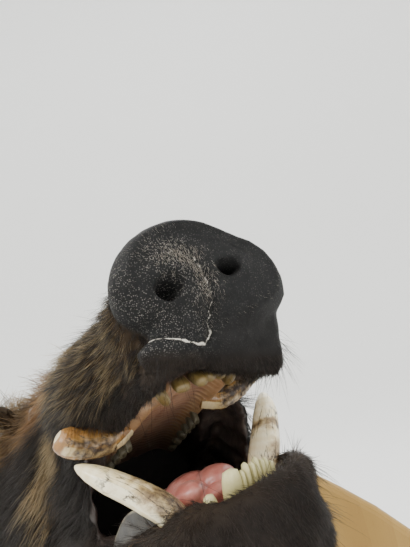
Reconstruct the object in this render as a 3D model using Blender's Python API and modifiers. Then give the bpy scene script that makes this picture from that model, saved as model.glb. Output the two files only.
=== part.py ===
"""Life-size mounted head of a male wild boar on a wooden wall shield.

The open-mouthed head is turned to its own left and raised, on a short neck and
shoulder that widen onto the shield.  Metres, +Z up.  The origin is the middle of
the shield's back, which lies on the wall plane Y = 0; the head looks towards -Y.
Lengths inside HEAD_... tables are centimetres in the head's own frame:
"forward" runs from the upper tusks to the snout and "height" from the palate up.
"""

import math

import bmesh
import bpy
from mathutils import Matrix, Vector

CM = 0.01
GAP = 0.0003                      # clearance between touching pieces

# ---------------------------------------------------------------- pose and mount
HEAD_ORIGIN = Vector((0.160, -0.382, 0.355))   # palate, midway between the upper tusks
HEAD_TURN = math.radians(45)      # to the animal's own left
HEAD_RAISE = math.radians(25)     # snout above level

SHIELD_THICK = 0.022
SHIELD_HALF_WIDTH = 0.335
SHIELD_TOP = 0.300
SHIELD_BOTTOM = -0.335
SHIELD_SHOULDER = 0.050           # height of the widest place
SHIELD_EDGE = 0.007               # rounded front edge
HANGER_HEIGHT = 0.200             # of the keyhole plate on the back
HANGER_REACH = 0.032              # its half width, and its full height
HANGER_DEPTH = 0.0032             # of its recess
HANGER_PLATE = 0.002              # its own thickness

NECK_BASE_HALF_WIDTH = 0.192      # where the neck meets the shield
NECK_BASE_CENTRE = (-0.004, 0.030)
NECK_BASE_RISE = 0.222
NECK_BASE_DROP = 0.270
NECK_BASE_TAPER = 0.24            # how much narrower its top is than an ellipse
NECK_LEAVE = 0.9                  # how straight the neck leaves the skull
NECK_ARRIVE = 0.7                 # and how squarely it meets the shield
NECK_RINGS = 9

# ---------------------------------------------------------------- head sections
RING = 24                         # points round a head or neck section
MUZZLE_FRONT = 7.9                # where the snout disc begins
FACE_BACK = -11.5                 # corner of the mouth, where muzzle and jaw end
SKULL_BACK = -26.0                # where the neck begins

# forward, half width, top, bottom, height of the widest place
MUZZLE_STATIONS = (
    (8.2, 4.9, 8.1, 0.0, 4.0),
    (6.6, 5.1, 8.0, -0.3, 3.6),
    (4.6, 5.3, 8.0, 0.1, 3.1),
    (2.6, 6.3, 8.1, 0.5, 3.1),
    (0.6, 7.3, 8.4, 1.0, 3.3),
    (-2.0, 7.3, 8.9, 0.6, 3.0),
    (-5.5, 6.9, 9.6, -1.2, 2.4),
    (-9.0, 7.3, 10.6, -2.2, 2.0),
    (-11.5, 8.2, 11.6, -2.8, 1.6),
)
SNOUT_STATIONS = (
    (7.93, 4.7, 8.2, 1.8, 4.3),
    (8.5, 5.1, 8.6, 2.1, 4.4),
    (9.2, 5.25, 8.7, 2.2, 4.4),
    (9.9, 5.15, 8.5, 2.4, 4.4),
    (10.5, 4.6, 8.0, 2.8, 4.5),
    (10.9, 3.2, 7.1, 3.6, 4.7),
)
NOSTRIL_PLACE = (1.75, 11.0, 4.5)  # to each side, forward, height
NOSTRIL_RADII = (0.8, 1.9, 0.65)
NOSTRIL_TURN = 0.25
SNOUT_LEAN = 0.33                 # the top of the disc stands forward of its foot
SNOUT_YAW = 0.08                  # and its left side forward of its right
SNOUT_SHIFT = 0.60                # the snout's bend to the animal's left
SNOUT_ROLL = 0.21                 # its left side also hangs a little lower
SKULL_STATIONS = (
    (-11.5, 8.2, 11.6, -12.2, 1.6),
    (-15.0, 9.5, 13.0, -12.6, 1.0),
    (-19.0, 11.2, 14.3, -13.2, 0.6),
    (-23.0, 12.6, 15.5, -13.8, 0.6),
    (-26.0, 13.6, 16.2, -14.4, 0.8),
)
JAW_STATIONS = (
    (7.3, 2.6, -6.5, -9.4, -7.8),
    (6.8, 3.9, -5.9, -10.4, -7.9),
    (5.8, 4.8, -5.4, -11.2, -8.0),
    (4.0, 5.3, -5.2, -11.7, -8.2),
    (1.5, 5.7, -5.1, -11.9, -8.2),
    (-2.0, 6.2, -4.8, -12.0, -8.1),
    (-6.0, 6.6, -4.2, -12.1, -7.8),
    (-11.5, 7.6, -3.2, -12.2, -7.0),
)

# left tusks, from the root to the tip: side, back, height, and the half width there
TUSK_STEPS = 9                    # rings along a tusk
UPPER_TUSK_PATH = ((3.1, 0.1, 1.0), (4.5, -0.2, 0.4), (5.9, -0.6, 0.55), (6.9, -1.0, 0.95), (7.4, -1.2, 1.4))
UPPER_TUSK_WIDTHS = ((0, 0.95), (1, 1.0), (2, 0.98), (3, 0.88), (4, 0.4))
UPPER_TUSK_FLAT = 0.85            # thickness as a share of width
UPPER_TUSK_BIAS = -0.3            # the pair sits a little to the animal's right
LOWER_TUSK_PATH = (
    (3.2, -2.6, -8.0), (3.5, -2.6, -5.5), (4.6, -2.6, -3.9), (6.2, -2.0, -2.05), (7.3, -1.2, -0.65),
)
LOWER_TUSK_WIDTHS = ((0, 0.98), (1, 1.03), (2, 1.03), (3, 0.9), (4, 0.2))
LOWER_TUSK_FLAT = 0.66
LOWER_TUSK_STAGGER = 0.5          # the left one sits further back than the right

EAR_ROOT = (7.6, 23.0, 9.4)       # side, back, height
EAR_ALONG = (0.46, 0.74, 0.50)    # from the root to the tip
EAR_ACROSS = (0.62, -0.68, 0.1)   # across its open side
EAR_LENGTH = 14.0
# share of the length, half width, depth of the cup
EAR_STATIONS = (
    (0.0, 2.6, 1.6), (0.2, 3.6, 2.2), (0.45, 3.9, 2.0),
    (0.68, 3.2, 1.4), (0.88, 1.9, 0.8), (1.0, 0.5, 0.3),
)
EYE_PLACE = (5.3, 16.6, 8.4)      # side, back, height
EYE_RADIUS = 1.2
LID_GAP_PLACE = (6.8, 16.4, 8.4)
LID_GAP_RADII = (1.1, 1.35, 0.85)

HOLLOW_STEPS = 14                 # rings along a mouth hollow
HOLLOW_ARC = 10                   # straight steps across it
HOLLOW_ARCH = 0.16                # rise of a mouth hollow's inner face, as a share of its half width

# inside of the mouth: forward, half width, inner face height
ROOF_STATIONS = (
    (7.4, 1.2, 1.5), (6.6, 2.3, 1.5), (6.0, 2.8, 1.6), (4.0, 3.5, 1.7),
    (1.0, 3.7, 1.7), (-4.0, 4.1, 1.7), (-11.0, 4.8, 1.0),
)
FLOOR_STATIONS = (
    (6.2, 2.2, -7.6), (5.0, 3.2, -8.2), (3.4, 3.9, -8.6), (0.0, 4.3, -8.9),
    (-5.0, 4.6, -8.6), (-11.0, 5.0, -7.6),
)
# forward, half width, top, bottom
TONGUE_STATIONS = (
    (3.4, 1.0, -5.4, -6.4), (2.7, 1.7, -4.7, -6.8), (1.0, 2.1, -3.9, -6.9), (-1.5, 2.3, -3.3, -6.9),
    (-5.0, 2.4, -2.8, -6.8), (-8.5, 2.5, -2.7, -6.6), (-11.0, 2.5, -2.8, -6.4),
)
# left cutting teeth: root, tip, half width, half thickness, direction of the width
ACROSS = (1.0, 0.0, 0.0)
ALONG = (0.0, 1.0, 0.0)
UPPER_INCISORS = (
    ((0.72, -5.7, 0.9), (0.64, -6.7, 0.0), 0.52, 0.36, ACROSS),
    ((1.8, -5.5, 1.0), (1.8, -6.3, -0.1), 0.42, 0.36, ACROSS),
    ((2.5, -4.8, 0.9), (2.5, -5.0, -0.1), 0.4, 0.36, ALONG),
)
LOWER_INCISORS = (
    ((0.62, -4.5, -7.9), (0.6, -5.4, -4.9), 0.58, 0.42, ACROSS),
    ((1.6, -4.3, -7.8), (1.75, -5.0, -5.0), 0.46, 0.38, ACROSS),
    ((2.3, -4.1, -7.8), (2.5, -4.8, -5.3), 0.3, 0.3, ACROSS),
)
UPPER_CHEEK_TEETH = 6
LOWER_CHEEK_TEETH = 5
GUM_DEPTH = 0.7                   # thickness of the palate and of the mouth's floor


def clear_scene() -> None:
    """Removes whatever objects the scene holds."""
    for item in list(bpy.data.objects):
        bpy.data.objects.remove(item, do_unlink=True)


def make_collection(name: str):
    """A new collection under the scene's own."""
    group = bpy.data.collections.new(name)
    bpy.context.scene.collection.children.link(group)
    return group


def make_material(name: str, colour, roughness: float, metallic: float = 0.0):
    """A Principled material of one colour."""
    mat = bpy.data.materials.new(name)
    mat.use_nodes = True
    shader = mat.node_tree.nodes["Principled BSDF"]
    shader.inputs["Base Color"].default_value = (*colour, 1.0)
    shader.inputs["Roughness"].default_value = roughness
    shader.inputs["Metallic"].default_value = metallic
    mat.diffuse_color = (*colour, 1.0)
    return mat


# ---------------------------------------------------------------- curves and lofts
def blend_table(table, position: float):
    """Row of a station table at a position, on a smooth curve through its rows."""
    rows = sorted(table, key=lambda row: row[0])
    position = min(max(position, rows[0][0]), rows[-1][0])
    index = max(i for i in range(len(rows) - 1) if rows[i][0] <= position)
    before = rows[max(index - 1, 0)]
    start, end = rows[index], rows[index + 1]
    after = rows[min(index + 2, len(rows) - 1)]
    span = end[0] - start[0]
    u = (position - start[0]) / span
    values = []
    for k in range(1, len(start)):
        slope_in = (end[k] - before[k]) / (end[0] - before[0]) * span
        slope_out = (after[k] - start[k]) / (after[0] - start[0]) * span
        values.append(
            (2 * u ** 3 - 3 * u ** 2 + 1) * start[k]
            + (u ** 3 - 2 * u ** 2 + u) * slope_in
            + (3 * u ** 2 - 2 * u ** 3) * end[k]
            + (u ** 3 - u ** 2) * slope_out
        )
    return values


def spread(first: float, last: float, count: int):
    """Evenly spaced values with both ends."""
    return [first + (last - first) * i / (count - 1) for i in range(count)]


def snout_pose(forward: float, x: float, z: float):
    """Place of a point, as side, forward and height, once the snout's pose is put in."""
    share = min(max((forward - 2.0) / 6.0, 0.0), 1.0)
    share = share * share * (3.0 - 2.0 * share)
    lean = SNOUT_LEAN * (z - 4.6) + SNOUT_YAW * x
    return x + share * SNOUT_SHIFT, forward + share * lean, z - share * SNOUT_ROLL * x


def crown_power(forward: float) -> float:
    """Roundness of the upper half of a section: boxy muzzle, roof-like skull."""
    share = min(max((-2.0 - forward) / 13.0, 0.0), 1.0)
    return 2.0 - 0.38 * share


def section(forward, half_width, top, bottom, widest, upper_power=2.0, lower_power=3.0,
            count=RING, lean=False):
    """Ring of points across the head at one station, in head-frame metres."""
    ring = []
    for i in range(count):
        angle = 2 * math.pi * i / count
        side, rise = math.sin(angle), -math.cos(angle)
        power = upper_power if rise > 0 else lower_power
        reach = top - widest if rise > 0 else widest - bottom
        x = half_width * math.copysign(abs(side) ** (2 / power), side)
        z = widest + reach * math.copysign(abs(rise) ** (2 / power), rise)
        place = snout_pose(forward, x, z) if lean else (x, forward, z)
        ring.append(Vector((place[0], -place[1], place[2])) * CM)
    return ring


def skin_rings(rings, bm=None):
    """Closed mesh through a row of equal rings, with a flat cap at each end."""
    bm = bm or bmesh.new()
    rows = [[bm.verts.new(point) for point in ring] for ring in rings]
    count = len(rings[0])
    for near, far in zip(rows, rows[1:]):
        for i in range(count):
            j = (i + 1) % count
            bm.faces.new((near[i], near[j], far[j], far[i]))
    bm.faces.new(rows[0])
    bm.faces.new(rows[-1])
    bmesh.ops.recalc_face_normals(bm, faces=bm.faces)
    return bm


def sweep_rings(path, wide, thin, side, count=10, power=2.0, grow=0.0):
    """Rings along a path of centimetre points.

    wide and thin are the half sizes at each point, side is the direction that the
    wide half size follows, and grow adds metres all round, for a socket.
    """
    rings = []
    for i, point in enumerate(path):
        ahead = path[min(i + 1, len(path) - 1)]
        behind = path[max(i - 1, 0)]
        tangent = (Vector(ahead) - Vector(behind)).normalized()
        across = (Vector(side) - tangent * tangent.dot(Vector(side))).normalized()
        normal = tangent.cross(across)
        ring = []
        for k in range(count):
            angle = 2 * math.pi * k / count
            c, s = math.cos(angle), math.sin(angle)
            a = (wide[i] * CM + grow) * math.copysign(abs(c) ** (2 / power), c)
            b = (thin[i] * CM + grow) * math.copysign(abs(s) ** (2 / power), s)
            ring.append(Vector(point) * CM + across * a + normal * b)
        rings.append(ring)
    return rings


def smooth_path(points, count: int):
    """Evenly numbered points on a smooth curve through a few control points."""
    table = [(i, *point) for i, point in enumerate(points)]
    return [tuple(blend_table(table, t)) for t in spread(0, len(points) - 1, count)]


class Builder:
    """Places named objects in the model's collection, or cutters in theirs."""

    def __init__(self) -> None:
        self.parts = make_collection("boar_head_mount")
        self.cutters = make_collection("cutters")
        self.head = self.frame("head_frame")

    def frame(self, name: str):
        """The empty that carries every piece modelled in the head's own frame."""
        empty = bpy.data.objects.new(name, None)
        empty.location = HEAD_ORIGIN
        empty.rotation_euler = (-HEAD_RAISE, 0.0, HEAD_TURN)
        self.parts.objects.link(empty)
        return empty

    def add(self, name: str, bm, mat, on_head: bool = True):
        """A part made from a bmesh."""
        mesh = bpy.data.meshes.new(name)
        bm.to_mesh(mesh)
        bm.free()
        mesh.materials.append(mat)
        mesh.shade_smooth()
        item = bpy.data.objects.new(name, mesh)
        self.parts.objects.link(item)
        if on_head:
            item.parent = self.head
        return item

    def cutter(self, name: str, bm, on_head: bool = True):
        """A shape that only cuts or joins others."""
        mesh = bpy.data.meshes.new(name)
        bm.to_mesh(mesh)
        bm.free()
        item = bpy.data.objects.new(name, mesh)
        item.hide_render = True
        item.display_type = "WIRE"
        self.cutters.objects.link(item)
        if on_head:
            item.parent = self.head
        return item

    @staticmethod
    def combine(item, tool, operation: str = "DIFFERENCE") -> None:
        """Cuts a tool from an item, or joins it on."""
        modifier = item.modifiers.new(tool.name, "BOOLEAN")
        modifier.object = tool
        modifier.operation = operation
        modifier.solver = "EXACT"


def ellipsoid(centre, radii, turn=0.0, rows=8, columns=12):
    """A ball stretched to three centimetre radii about a centimetre centre, turned on Z."""
    bm = bmesh.new()
    bmesh.ops.create_uvsphere(bm, u_segments=columns, v_segments=rows, radius=1.0)
    place = Matrix.Translation(Vector(centre) * CM) @ Matrix.Rotation(turn, 4, "Z")
    shape = Matrix.Diagonal((*[r * CM for r in radii], 1.0))
    bmesh.ops.transform(bm, matrix=place @ shape, verts=bm.verts)
    return bm


# ---------------------------------------------------------------- mouth hollows
def hollow_grid(stations):
    """Forward places that a hollow and its lining share."""
    return spread(stations[0][0], stations[-1][0], HOLLOW_STEPS)


def hollow(stations, open_height: float):
    """Cutter for the hollow of a jaw, from its inner face out past the lips.

    open_height is where the cutter ends in the open mouth.
    """
    rings = []
    for forward in hollow_grid(stations):
        half_width, inner = blend_table(stations, forward)
        rise = 1.0 if inner > open_height else -1.0
        ring = []
        for i in range(HOLLOW_ARC + 1):
            angle = math.pi * i / HOLLOW_ARC
            x = half_width * math.cos(angle)
            z = inner - rise * (half_width * HOLLOW_ARCH) * (1 - math.sin(angle) ** 0.7)
            ring.append(Vector((x, -forward, z)) * CM)
        ring.append(Vector((-half_width, -forward, open_height)) * CM)
        ring.append(Vector((half_width, -forward, open_height)) * CM)
        rings.append(ring)
    return skin_rings(rings)


# ---------------------------------------------------------------- the pieces
def build_shield(make: Builder, mat) -> None:
    """Wall shield: sloping shoulders, full sides, and a blunt point below."""
    half = []
    for u in spread(0.0, 1.0, 9):
        drop = (SHIELD_TOP - SHIELD_SHOULDER) * (0.92 * u + 0.08 * u ** 8)
        half.append((SHIELD_HALF_WIDTH * u, SHIELD_TOP - drop))
    for angle in spread(0.0, math.pi / 2, 12)[1:]:
        reach = math.cos(angle) ** 0.72
        half.append((SHIELD_HALF_WIDTH * reach,
                     SHIELD_SHOULDER + (SHIELD_BOTTOM - SHIELD_SHOULDER) * math.sin(angle) ** 1.15))
    outline = half[:-1] + [(0.0, SHIELD_BOTTOM)] + [(-x, z) for x, z in half[1:-1][::-1]]
    bm = bmesh.new()
    face = bm.faces.new([bm.verts.new((x, -SHIELD_THICK, z)) for x, z in outline])
    back = bmesh.ops.extrude_face_region(bm, geom=[face])
    moved = [v for v in back["geom"] if isinstance(v, bmesh.types.BMVert)]
    bmesh.ops.translate(bm, verts=moved, vec=(0.0, SHIELD_THICK, 0.0))
    bmesh.ops.recalc_face_normals(bm, faces=bm.faces)
    shield = make.add("shield", bm, mat, on_head=False)
    edge = shield.modifiers.new("rounded_edge", "BEVEL")
    edge.width = SHIELD_EDGE
    edge.segments = 2
    edge.limit_method = "ANGLE"
    edge.angle_limit = math.radians(60)


def build_neck(make: Builder, mat):
    """Neck and shoulder, from the back of the skull to the shield."""
    turn = Matrix.Rotation(HEAD_TURN, 4, "Z") @ Matrix.Rotation(-HEAD_RAISE, 4, "X")
    place = Matrix.Translation(HEAD_ORIGIN) @ turn
    row = blend_table(SKULL_STATIONS, SKULL_BACK)
    power = crown_power(SKULL_BACK)
    skull_ring = [place @ p for p in section(SKULL_BACK - GAP / CM, *row, upper_power=power, lower_power=2.4)]
    base_ring = []
    for i in range(RING):
        angle = 2 * math.pi * i / RING
        side, rise = math.sin(angle), -math.cos(angle)
        x = NECK_BASE_HALF_WIDTH * side * (1.0 - NECK_BASE_TAPER * max(rise, 0.0) ** 2) + NECK_BASE_CENTRE[0]
        z = NECK_BASE_CENTRE[1] + (NECK_BASE_RISE if rise > 0 else NECK_BASE_DROP) * rise
        base_ring.append(Vector((x, -SHIELD_THICK - GAP, z)))
    leave = (turn @ Vector((0.0, 1.0, 0.0, 0.0))).to_3d()
    rings = []
    for u in spread(0.0, 1.0, NECK_RINGS):
        ring = []
        for start, end in zip(skull_ring, base_ring):
            reach = (end - start).length
            out = leave * reach * NECK_LEAVE
            arrive = Vector((0.0, 1.0, 0.0)) * reach * NECK_ARRIVE
            ring.append(start * (2 * u ** 3 - 3 * u ** 2 + 1) + out * (u ** 3 - 2 * u ** 2 + u)
                        + end * (3 * u ** 2 - 2 * u ** 3) + arrive * (u ** 3 - u ** 2))
        rings.append(ring)
    return make.add("neck", skin_rings(rings), mat, on_head=False)


def build_skull(make: Builder, mat):
    """Cheeks, forehead and crown, behind the corners of the mouth."""
    rings = [section(f, *blend_table(SKULL_STATIONS, f), upper_power=crown_power(f), lower_power=2.4)
             for f in spread(FACE_BACK - GAP / CM, SKULL_BACK, 7)]
    return make.add("head", skin_rings(rings), mat)


def build_muzzle(make: Builder, mat):
    """Upper jaw with its lips, hollowed for the palate."""
    rings = []
    for f in spread(MUZZLE_FRONT, FACE_BACK, 14):
        row = blend_table(MUZZLE_STATIONS, f)
        rings.append(section(f, *row, upper_power=crown_power(f), lower_power=3.6, lean=True))
    muzzle = make.add("muzzle", skin_rings(rings), mat)
    make.combine(muzzle, make.cutter("palate_hollow", hollow(ROOF_STATIONS, -5.0)))
    return muzzle


def build_jaw(make: Builder, mat):
    """Lower jaw with its lip and chin, hollowed for gum and tongue."""
    rings = [section(f, *blend_table(JAW_STATIONS, f), upper_power=4.6, lower_power=2.4)
             for f in spread(JAW_STATIONS[0][0], FACE_BACK, 13)]
    jaw = make.add("lower_jaw", skin_rings(rings), mat)
    make.combine(jaw, make.cutter("tongue_hollow", hollow(FLOOR_STATIONS, -2.0)))
    return jaw


def build_snout(make: Builder, mat) -> None:
    """Snout disc with its rim and two nostrils."""
    rings = [section(*row, upper_power=1.85, lower_power=2.4, lean=True) for row in SNOUT_STATIONS]
    snout = make.add("snout", skin_rings(rings), mat)
    for side, name in ((1, "left"), (-1, "right")):
        out, forward, height = NOSTRIL_PLACE
        pit = ellipsoid((side * out + 0.1, -forward, height), NOSTRIL_RADII, -side * NOSTRIL_TURN)
        make.combine(snout, make.cutter("nostril_" + name, pit))


def build_tusks(make: Builder, mat, muzzle, jaw) -> None:
    """The four tusks, each with its socket in the jaw that carries it."""
    upper = (UPPER_TUSK_PATH, UPPER_TUSK_WIDTHS, UPPER_TUSK_FLAT, (0.0, 0.4, 1.0), UPPER_TUSK_BIAS, 0.0)
    lower = (LOWER_TUSK_PATH, LOWER_TUSK_WIDTHS, LOWER_TUSK_FLAT, (0.7, -0.7, 0.0), 0.0, LOWER_TUSK_STAGGER)
    for label, sizes, carrier in (("upper", upper, muzzle), ("lower", lower, jaw)):
        points, widths, flat, side, bias, shift = sizes
        for sign, name in ((1, "left"), (-1, "right")):
            path = smooth_path([(sign * x + bias, y + sign * shift, z) for x, y, z in points], TUSK_STEPS)
            wide = [blend_table(widths, t)[0] for t in spread(0, 4, TUSK_STEPS)]
            thin = [w * flat for w in wide]
            side = (sign * abs(side[0]), side[1], side[2])
            rings = sweep_rings(path, wide, thin, side)
            make.add(f"{label}_tusk_{name}", skin_rings(rings), mat)
            socket = skin_rings(sweep_rings(path, wide, thin, side, grow=GAP))
            make.combine(carrier, make.cutter(f"{label}_socket_{name}", socket))


def lining(stations, thickness, ridge, teeth_side, skip):
    """Rings of the gum and palate, or gum and mouth floor, that line a hollow.

    thickness is its depth at the middle, ridge how far the gum stands beyond that at
    the sides, teeth_side is +1 where the hollow opens upwards and -1 downwards, and
    skip is how many steps of the hollow's front stay bare.
    """
    rings = []
    clear = GAP / CM * 1.5
    places = hollow_grid(stations)[skip:]
    places[-1] += clear
    for forward in places:
        half_width, inner = blend_table(stations, forward)
        half_width -= clear
        ring = []
        for i in range(HOLLOW_ARC + 1):
            angle = math.pi * i / HOLLOW_ARC
            drop = half_width * HOLLOW_ARCH * (1 - math.sin(angle) ** 0.7)
            ring.append((half_width * math.cos(angle), inner + teeth_side * (drop + clear)))
        for i in range(1, HOLLOW_ARC):
            x = -half_width * math.cos(math.pi * i / HOLLOW_ARC)
            share = abs(x) / half_width
            swell = math.exp(-((share - 0.78) / 0.2) ** 2)
            ring.append((x, inner + teeth_side * (thickness + ridge * swell)))
        rings.append([Vector((x, -forward, z)) * CM for x, z in ring])
    return rings


def tooth(bm, root, tip, wide, thin, side) -> None:
    """One blunt tooth from its root to its tip, all in centimetres."""
    path = [tuple(root[k] + (tip[k] - root[k]) * u for k in range(3)) for u in (0.0, 0.7, 1.0)]
    rings = sweep_rings(path, [wide, wide * 1.05, wide * 0.6],
                        [thin, thin * 1.05, thin * 0.5], side, count=6, power=2.4)
    skin_rings(rings, bm)


def add_incisors(bm, table) -> None:
    """Both sides' cutting teeth from a table of the left ones."""
    for sign in (1, -1):
        for root, tip, wide, thin, side in table:
            tooth(bm, (sign * root[0], *root[1:]), (sign * tip[0], *tip[1:]), wide, thin, side)


def build_palate(make: Builder, mat) -> None:
    """Roof of the mouth with the upper cutting and cheek teeth."""
    palate = make.add("palate_teeth", skin_rings(lining(ROOF_STATIONS, GUM_DEPTH, 0.9, -1.0, 1)), mat)
    teeth = bmesh.new()
    add_incisors(teeth, UPPER_INCISORS)
    for sign in (1, -1):
        for number in range(UPPER_CHEEK_TEETH):
            back = 2.4 + 1.22 * number + 0.06 * number ** 2
            size = 0.48 + 0.05 * number
            x = sign * (2.75 + 0.12 * number)
            tooth(teeth, (x, back, 0.6), (x, back, -0.9), size, size * 0.8, ALONG)
    make.combine(palate, make.cutter("upper_teeth", teeth), "UNION")
    for name in ("left", "right"):
        make.combine(palate, bpy.data.objects[f"upper_socket_{name}"])


def build_gum(make: Builder, mat) -> None:
    """Floor of the mouth with the lower cutting and cheek teeth."""
    gum = make.add("lower_gum_teeth", skin_rings(lining(FLOOR_STATIONS, GUM_DEPTH, 1.0, 1.0, 1)), mat)
    teeth = bmesh.new()
    add_incisors(teeth, LOWER_INCISORS)
    for sign in (1, -1):
        for number in range(LOWER_CHEEK_TEETH):
            back = 0.8 + 1.75 * number
            size = 0.5 + 0.07 * number
            x = sign * (3.15 + 0.1 * number)
            top = -5.9 + 0.24 * number
            tooth(teeth, (x, back, top - 1.6), (x, back, top), size, size * 0.75, ALONG)
    make.combine(gum, make.cutter("lower_teeth", teeth), "UNION")
    for name in ("left", "right"):
        make.combine(gum, bpy.data.objects[f"lower_socket_{name}"])


def build_tongue(make: Builder, mat) -> None:
    """Tongue, arched from the throat to just behind the lower cutting teeth."""
    rings = []
    for forward in spread(TONGUE_STATIONS[0][0], TONGUE_STATIONS[-1][0], 9):
        half_width, top, bottom = blend_table(TONGUE_STATIONS, forward)
        rings.append(section(forward, half_width, top, bottom, 0.5 * (top + bottom), 2.2, 2.6, 14))
    make.add("tongue", skin_rings(rings), mat)


def build_ears(make: Builder, mat, skull, neck) -> None:
    """Upright, cupped ears set in the back of the skull."""
    for sign, name in ((1, "left"), (-1, "right")):
        flip = Vector((sign, 1.0, 1.0))
        root = Vector(EAR_ROOT) * flip
        along = (Vector(EAR_ALONG) * flip).normalized()
        across = Vector(EAR_ACROSS) * flip
        across = (across - along * along.dot(across)).normalized()
        back = along.cross(across) * sign
        for grow, keep in ((0.0, True), (GAP, False)):
            rings = []
            for u in spread(0.0, 1.0, 9):
                half_width, cup = blend_table(EAR_STATIONS, u)
                half_width += grow / CM
                thick = 0.55 + 0.5 * (1.0 - u) + grow / CM * 2
                ring = []
                for x in spread(-1.0, 1.0, 8):
                    ring.append((x * half_width, cup * (1 - x * x) + thick * 0.5))
                for x in spread(1.0, -1.0, 8):
                    ring.append((x * half_width * 0.96, cup * (1 - x * x) * 0.9 - thick * 0.5))
                centre = root + along * (EAR_LENGTH * u)
                rings.append([(centre + across * x - back * y) * CM for x, y in ring])
            if keep:
                make.add(f"ear_{name}", skin_rings(rings), mat)
            else:
                seat = make.cutter(f"ear_seat_{name}", skin_rings(rings))
                make.combine(skull, seat)
                make.combine(neck, seat)


def build_eyes(make: Builder, mat, skull) -> None:
    """Glass eyes, each in an open socket below the brow."""
    room = EYE_RADIUS + GAP / CM * 2
    for sign, name in ((1, "left"), (-1, "right")):
        centre = (sign * EYE_PLACE[0], *EYE_PLACE[1:])
        make.add(f"eye_{name}", ellipsoid(centre, (EYE_RADIUS,) * 3), mat)
        make.combine(skull, make.cutter(f"socket_{name}", ellipsoid(centre, (room,) * 3)))
        slot = ellipsoid((sign * LID_GAP_PLACE[0], *LID_GAP_PLACE[1:]), LID_GAP_RADII, rows=6, columns=10)
        make.combine(skull, make.cutter(f"lid_gap_{name}", slot))


def build_hanger(make: Builder, mat) -> None:
    """Steel keyhole plate, let into the back of the shield."""
    shield = bpy.data.objects["shield"]
    room = bmesh.new()
    bmesh.ops.create_cube(room, size=1.0)
    bmesh.ops.scale(room, vec=(2 * HANGER_REACH, 2 * HANGER_DEPTH, HANGER_REACH), verts=room.verts)
    bmesh.ops.translate(room, vec=(0.0, 0.0, HANGER_HEIGHT), verts=room.verts)
    make.combine(shield, make.cutter("hanger_recess", room, on_head=False))
    plate = bmesh.new()
    bmesh.ops.create_cube(plate, size=1.0)
    size = (2 * (HANGER_REACH - GAP), HANGER_PLATE, HANGER_REACH - 2 * GAP)
    bmesh.ops.scale(plate, vec=size, verts=plate.verts)
    bmesh.ops.translate(plate, vec=(0.0, -0.5 * HANGER_DEPTH, HANGER_HEIGHT), verts=plate.verts)
    item = make.add("hanger_plate", plate, mat, on_head=False)
    item.data.shade_flat()
    for name, radius, low in (("keyhole", 0.0050, -0.003), ("keyhole_slot", 0.0026, 0.004)):
        hole = bmesh.new()
        bmesh.ops.create_cone(hole, cap_ends=True, segments=12, radius1=radius, radius2=radius, depth=0.01)
        bmesh.ops.rotate(hole, matrix=Matrix.Rotation(math.pi / 2, 3, "X"), verts=hole.verts)
        bmesh.ops.translate(hole, vec=(0.0, 0.0, HANGER_HEIGHT + low), verts=hole.verts)
        make.combine(item, make.cutter(name, hole, on_head=False))


def main() -> None:
    """Builds every piece of the mount."""
    clear_scene()
    make = Builder()
    hide = make_material("hide", (0.10, 0.07, 0.05), 0.8)
    nose = make_material("nose", (0.04, 0.04, 0.045), 0.6)
    ivory = make_material("ivory", (0.85, 0.78, 0.62), 0.35)
    wood = make_material("pale_wood", (0.40, 0.27, 0.13), 0.5)
    gum = make_material("gum", (0.55, 0.27, 0.20), 0.4)
    pink = make_material("tongue", (0.62, 0.25, 0.24), 0.35)
    glass = make_material("eye_glass", (0.05, 0.025, 0.01), 0.05)
    steel = make_material("zinc_steel", (0.55, 0.56, 0.58), 0.4, 1.0)
    build_shield(make, wood)
    neck = build_neck(make, hide)
    skull = build_skull(make, hide)
    muzzle = build_muzzle(make, hide)
    jaw = build_jaw(make, hide)
    build_snout(make, nose)
    build_tusks(make, ivory, muzzle, jaw)
    build_palate(make, gum)
    build_gum(make, gum)
    build_tongue(make, pink)
    build_ears(make, hide, skull, neck)
    build_eyes(make, glass, skull)
    build_hanger(make, steel)


main()
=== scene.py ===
"""Looks for a life-size mounted wild boar head on a pale wooden wall shield.

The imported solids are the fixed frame.  One skin replaces the flesh solids and lies
inside them by the depth of the coat; hairs in locks stand on it.  Teeth, tongue,
tusks and eyes are finished meshes in the places of their solids.

Tables marked "head" are centimetres in the head's own frame: side (to the animal's
left), forward (towards the snout) and height above the palate.
"""

import logging
import math
from dataclasses import dataclass
from enum import Enum
from functools import partial
from typing import Callable, Iterable, Sequence

import bmesh
import bpy
import numpy as np
from mathutils import Matrix, Vector


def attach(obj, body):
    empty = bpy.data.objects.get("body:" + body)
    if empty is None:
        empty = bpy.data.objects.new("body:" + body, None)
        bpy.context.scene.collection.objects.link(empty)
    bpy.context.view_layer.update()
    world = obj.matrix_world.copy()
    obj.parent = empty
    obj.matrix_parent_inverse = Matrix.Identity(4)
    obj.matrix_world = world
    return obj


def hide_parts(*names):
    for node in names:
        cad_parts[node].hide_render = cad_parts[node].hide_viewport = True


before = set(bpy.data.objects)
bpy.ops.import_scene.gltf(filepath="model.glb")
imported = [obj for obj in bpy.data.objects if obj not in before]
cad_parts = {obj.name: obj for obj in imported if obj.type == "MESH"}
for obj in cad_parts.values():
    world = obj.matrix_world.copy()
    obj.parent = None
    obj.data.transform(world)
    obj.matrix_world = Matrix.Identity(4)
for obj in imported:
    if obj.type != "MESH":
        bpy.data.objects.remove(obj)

log = logging.getLogger("boar_mount")
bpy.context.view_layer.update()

CM = 0.01
HEAD_ORIGIN = Vector((0.160, -0.382, 0.355))
HEAD_TURN = math.radians(45)
HEAD_RAISE = math.radians(25)
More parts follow.
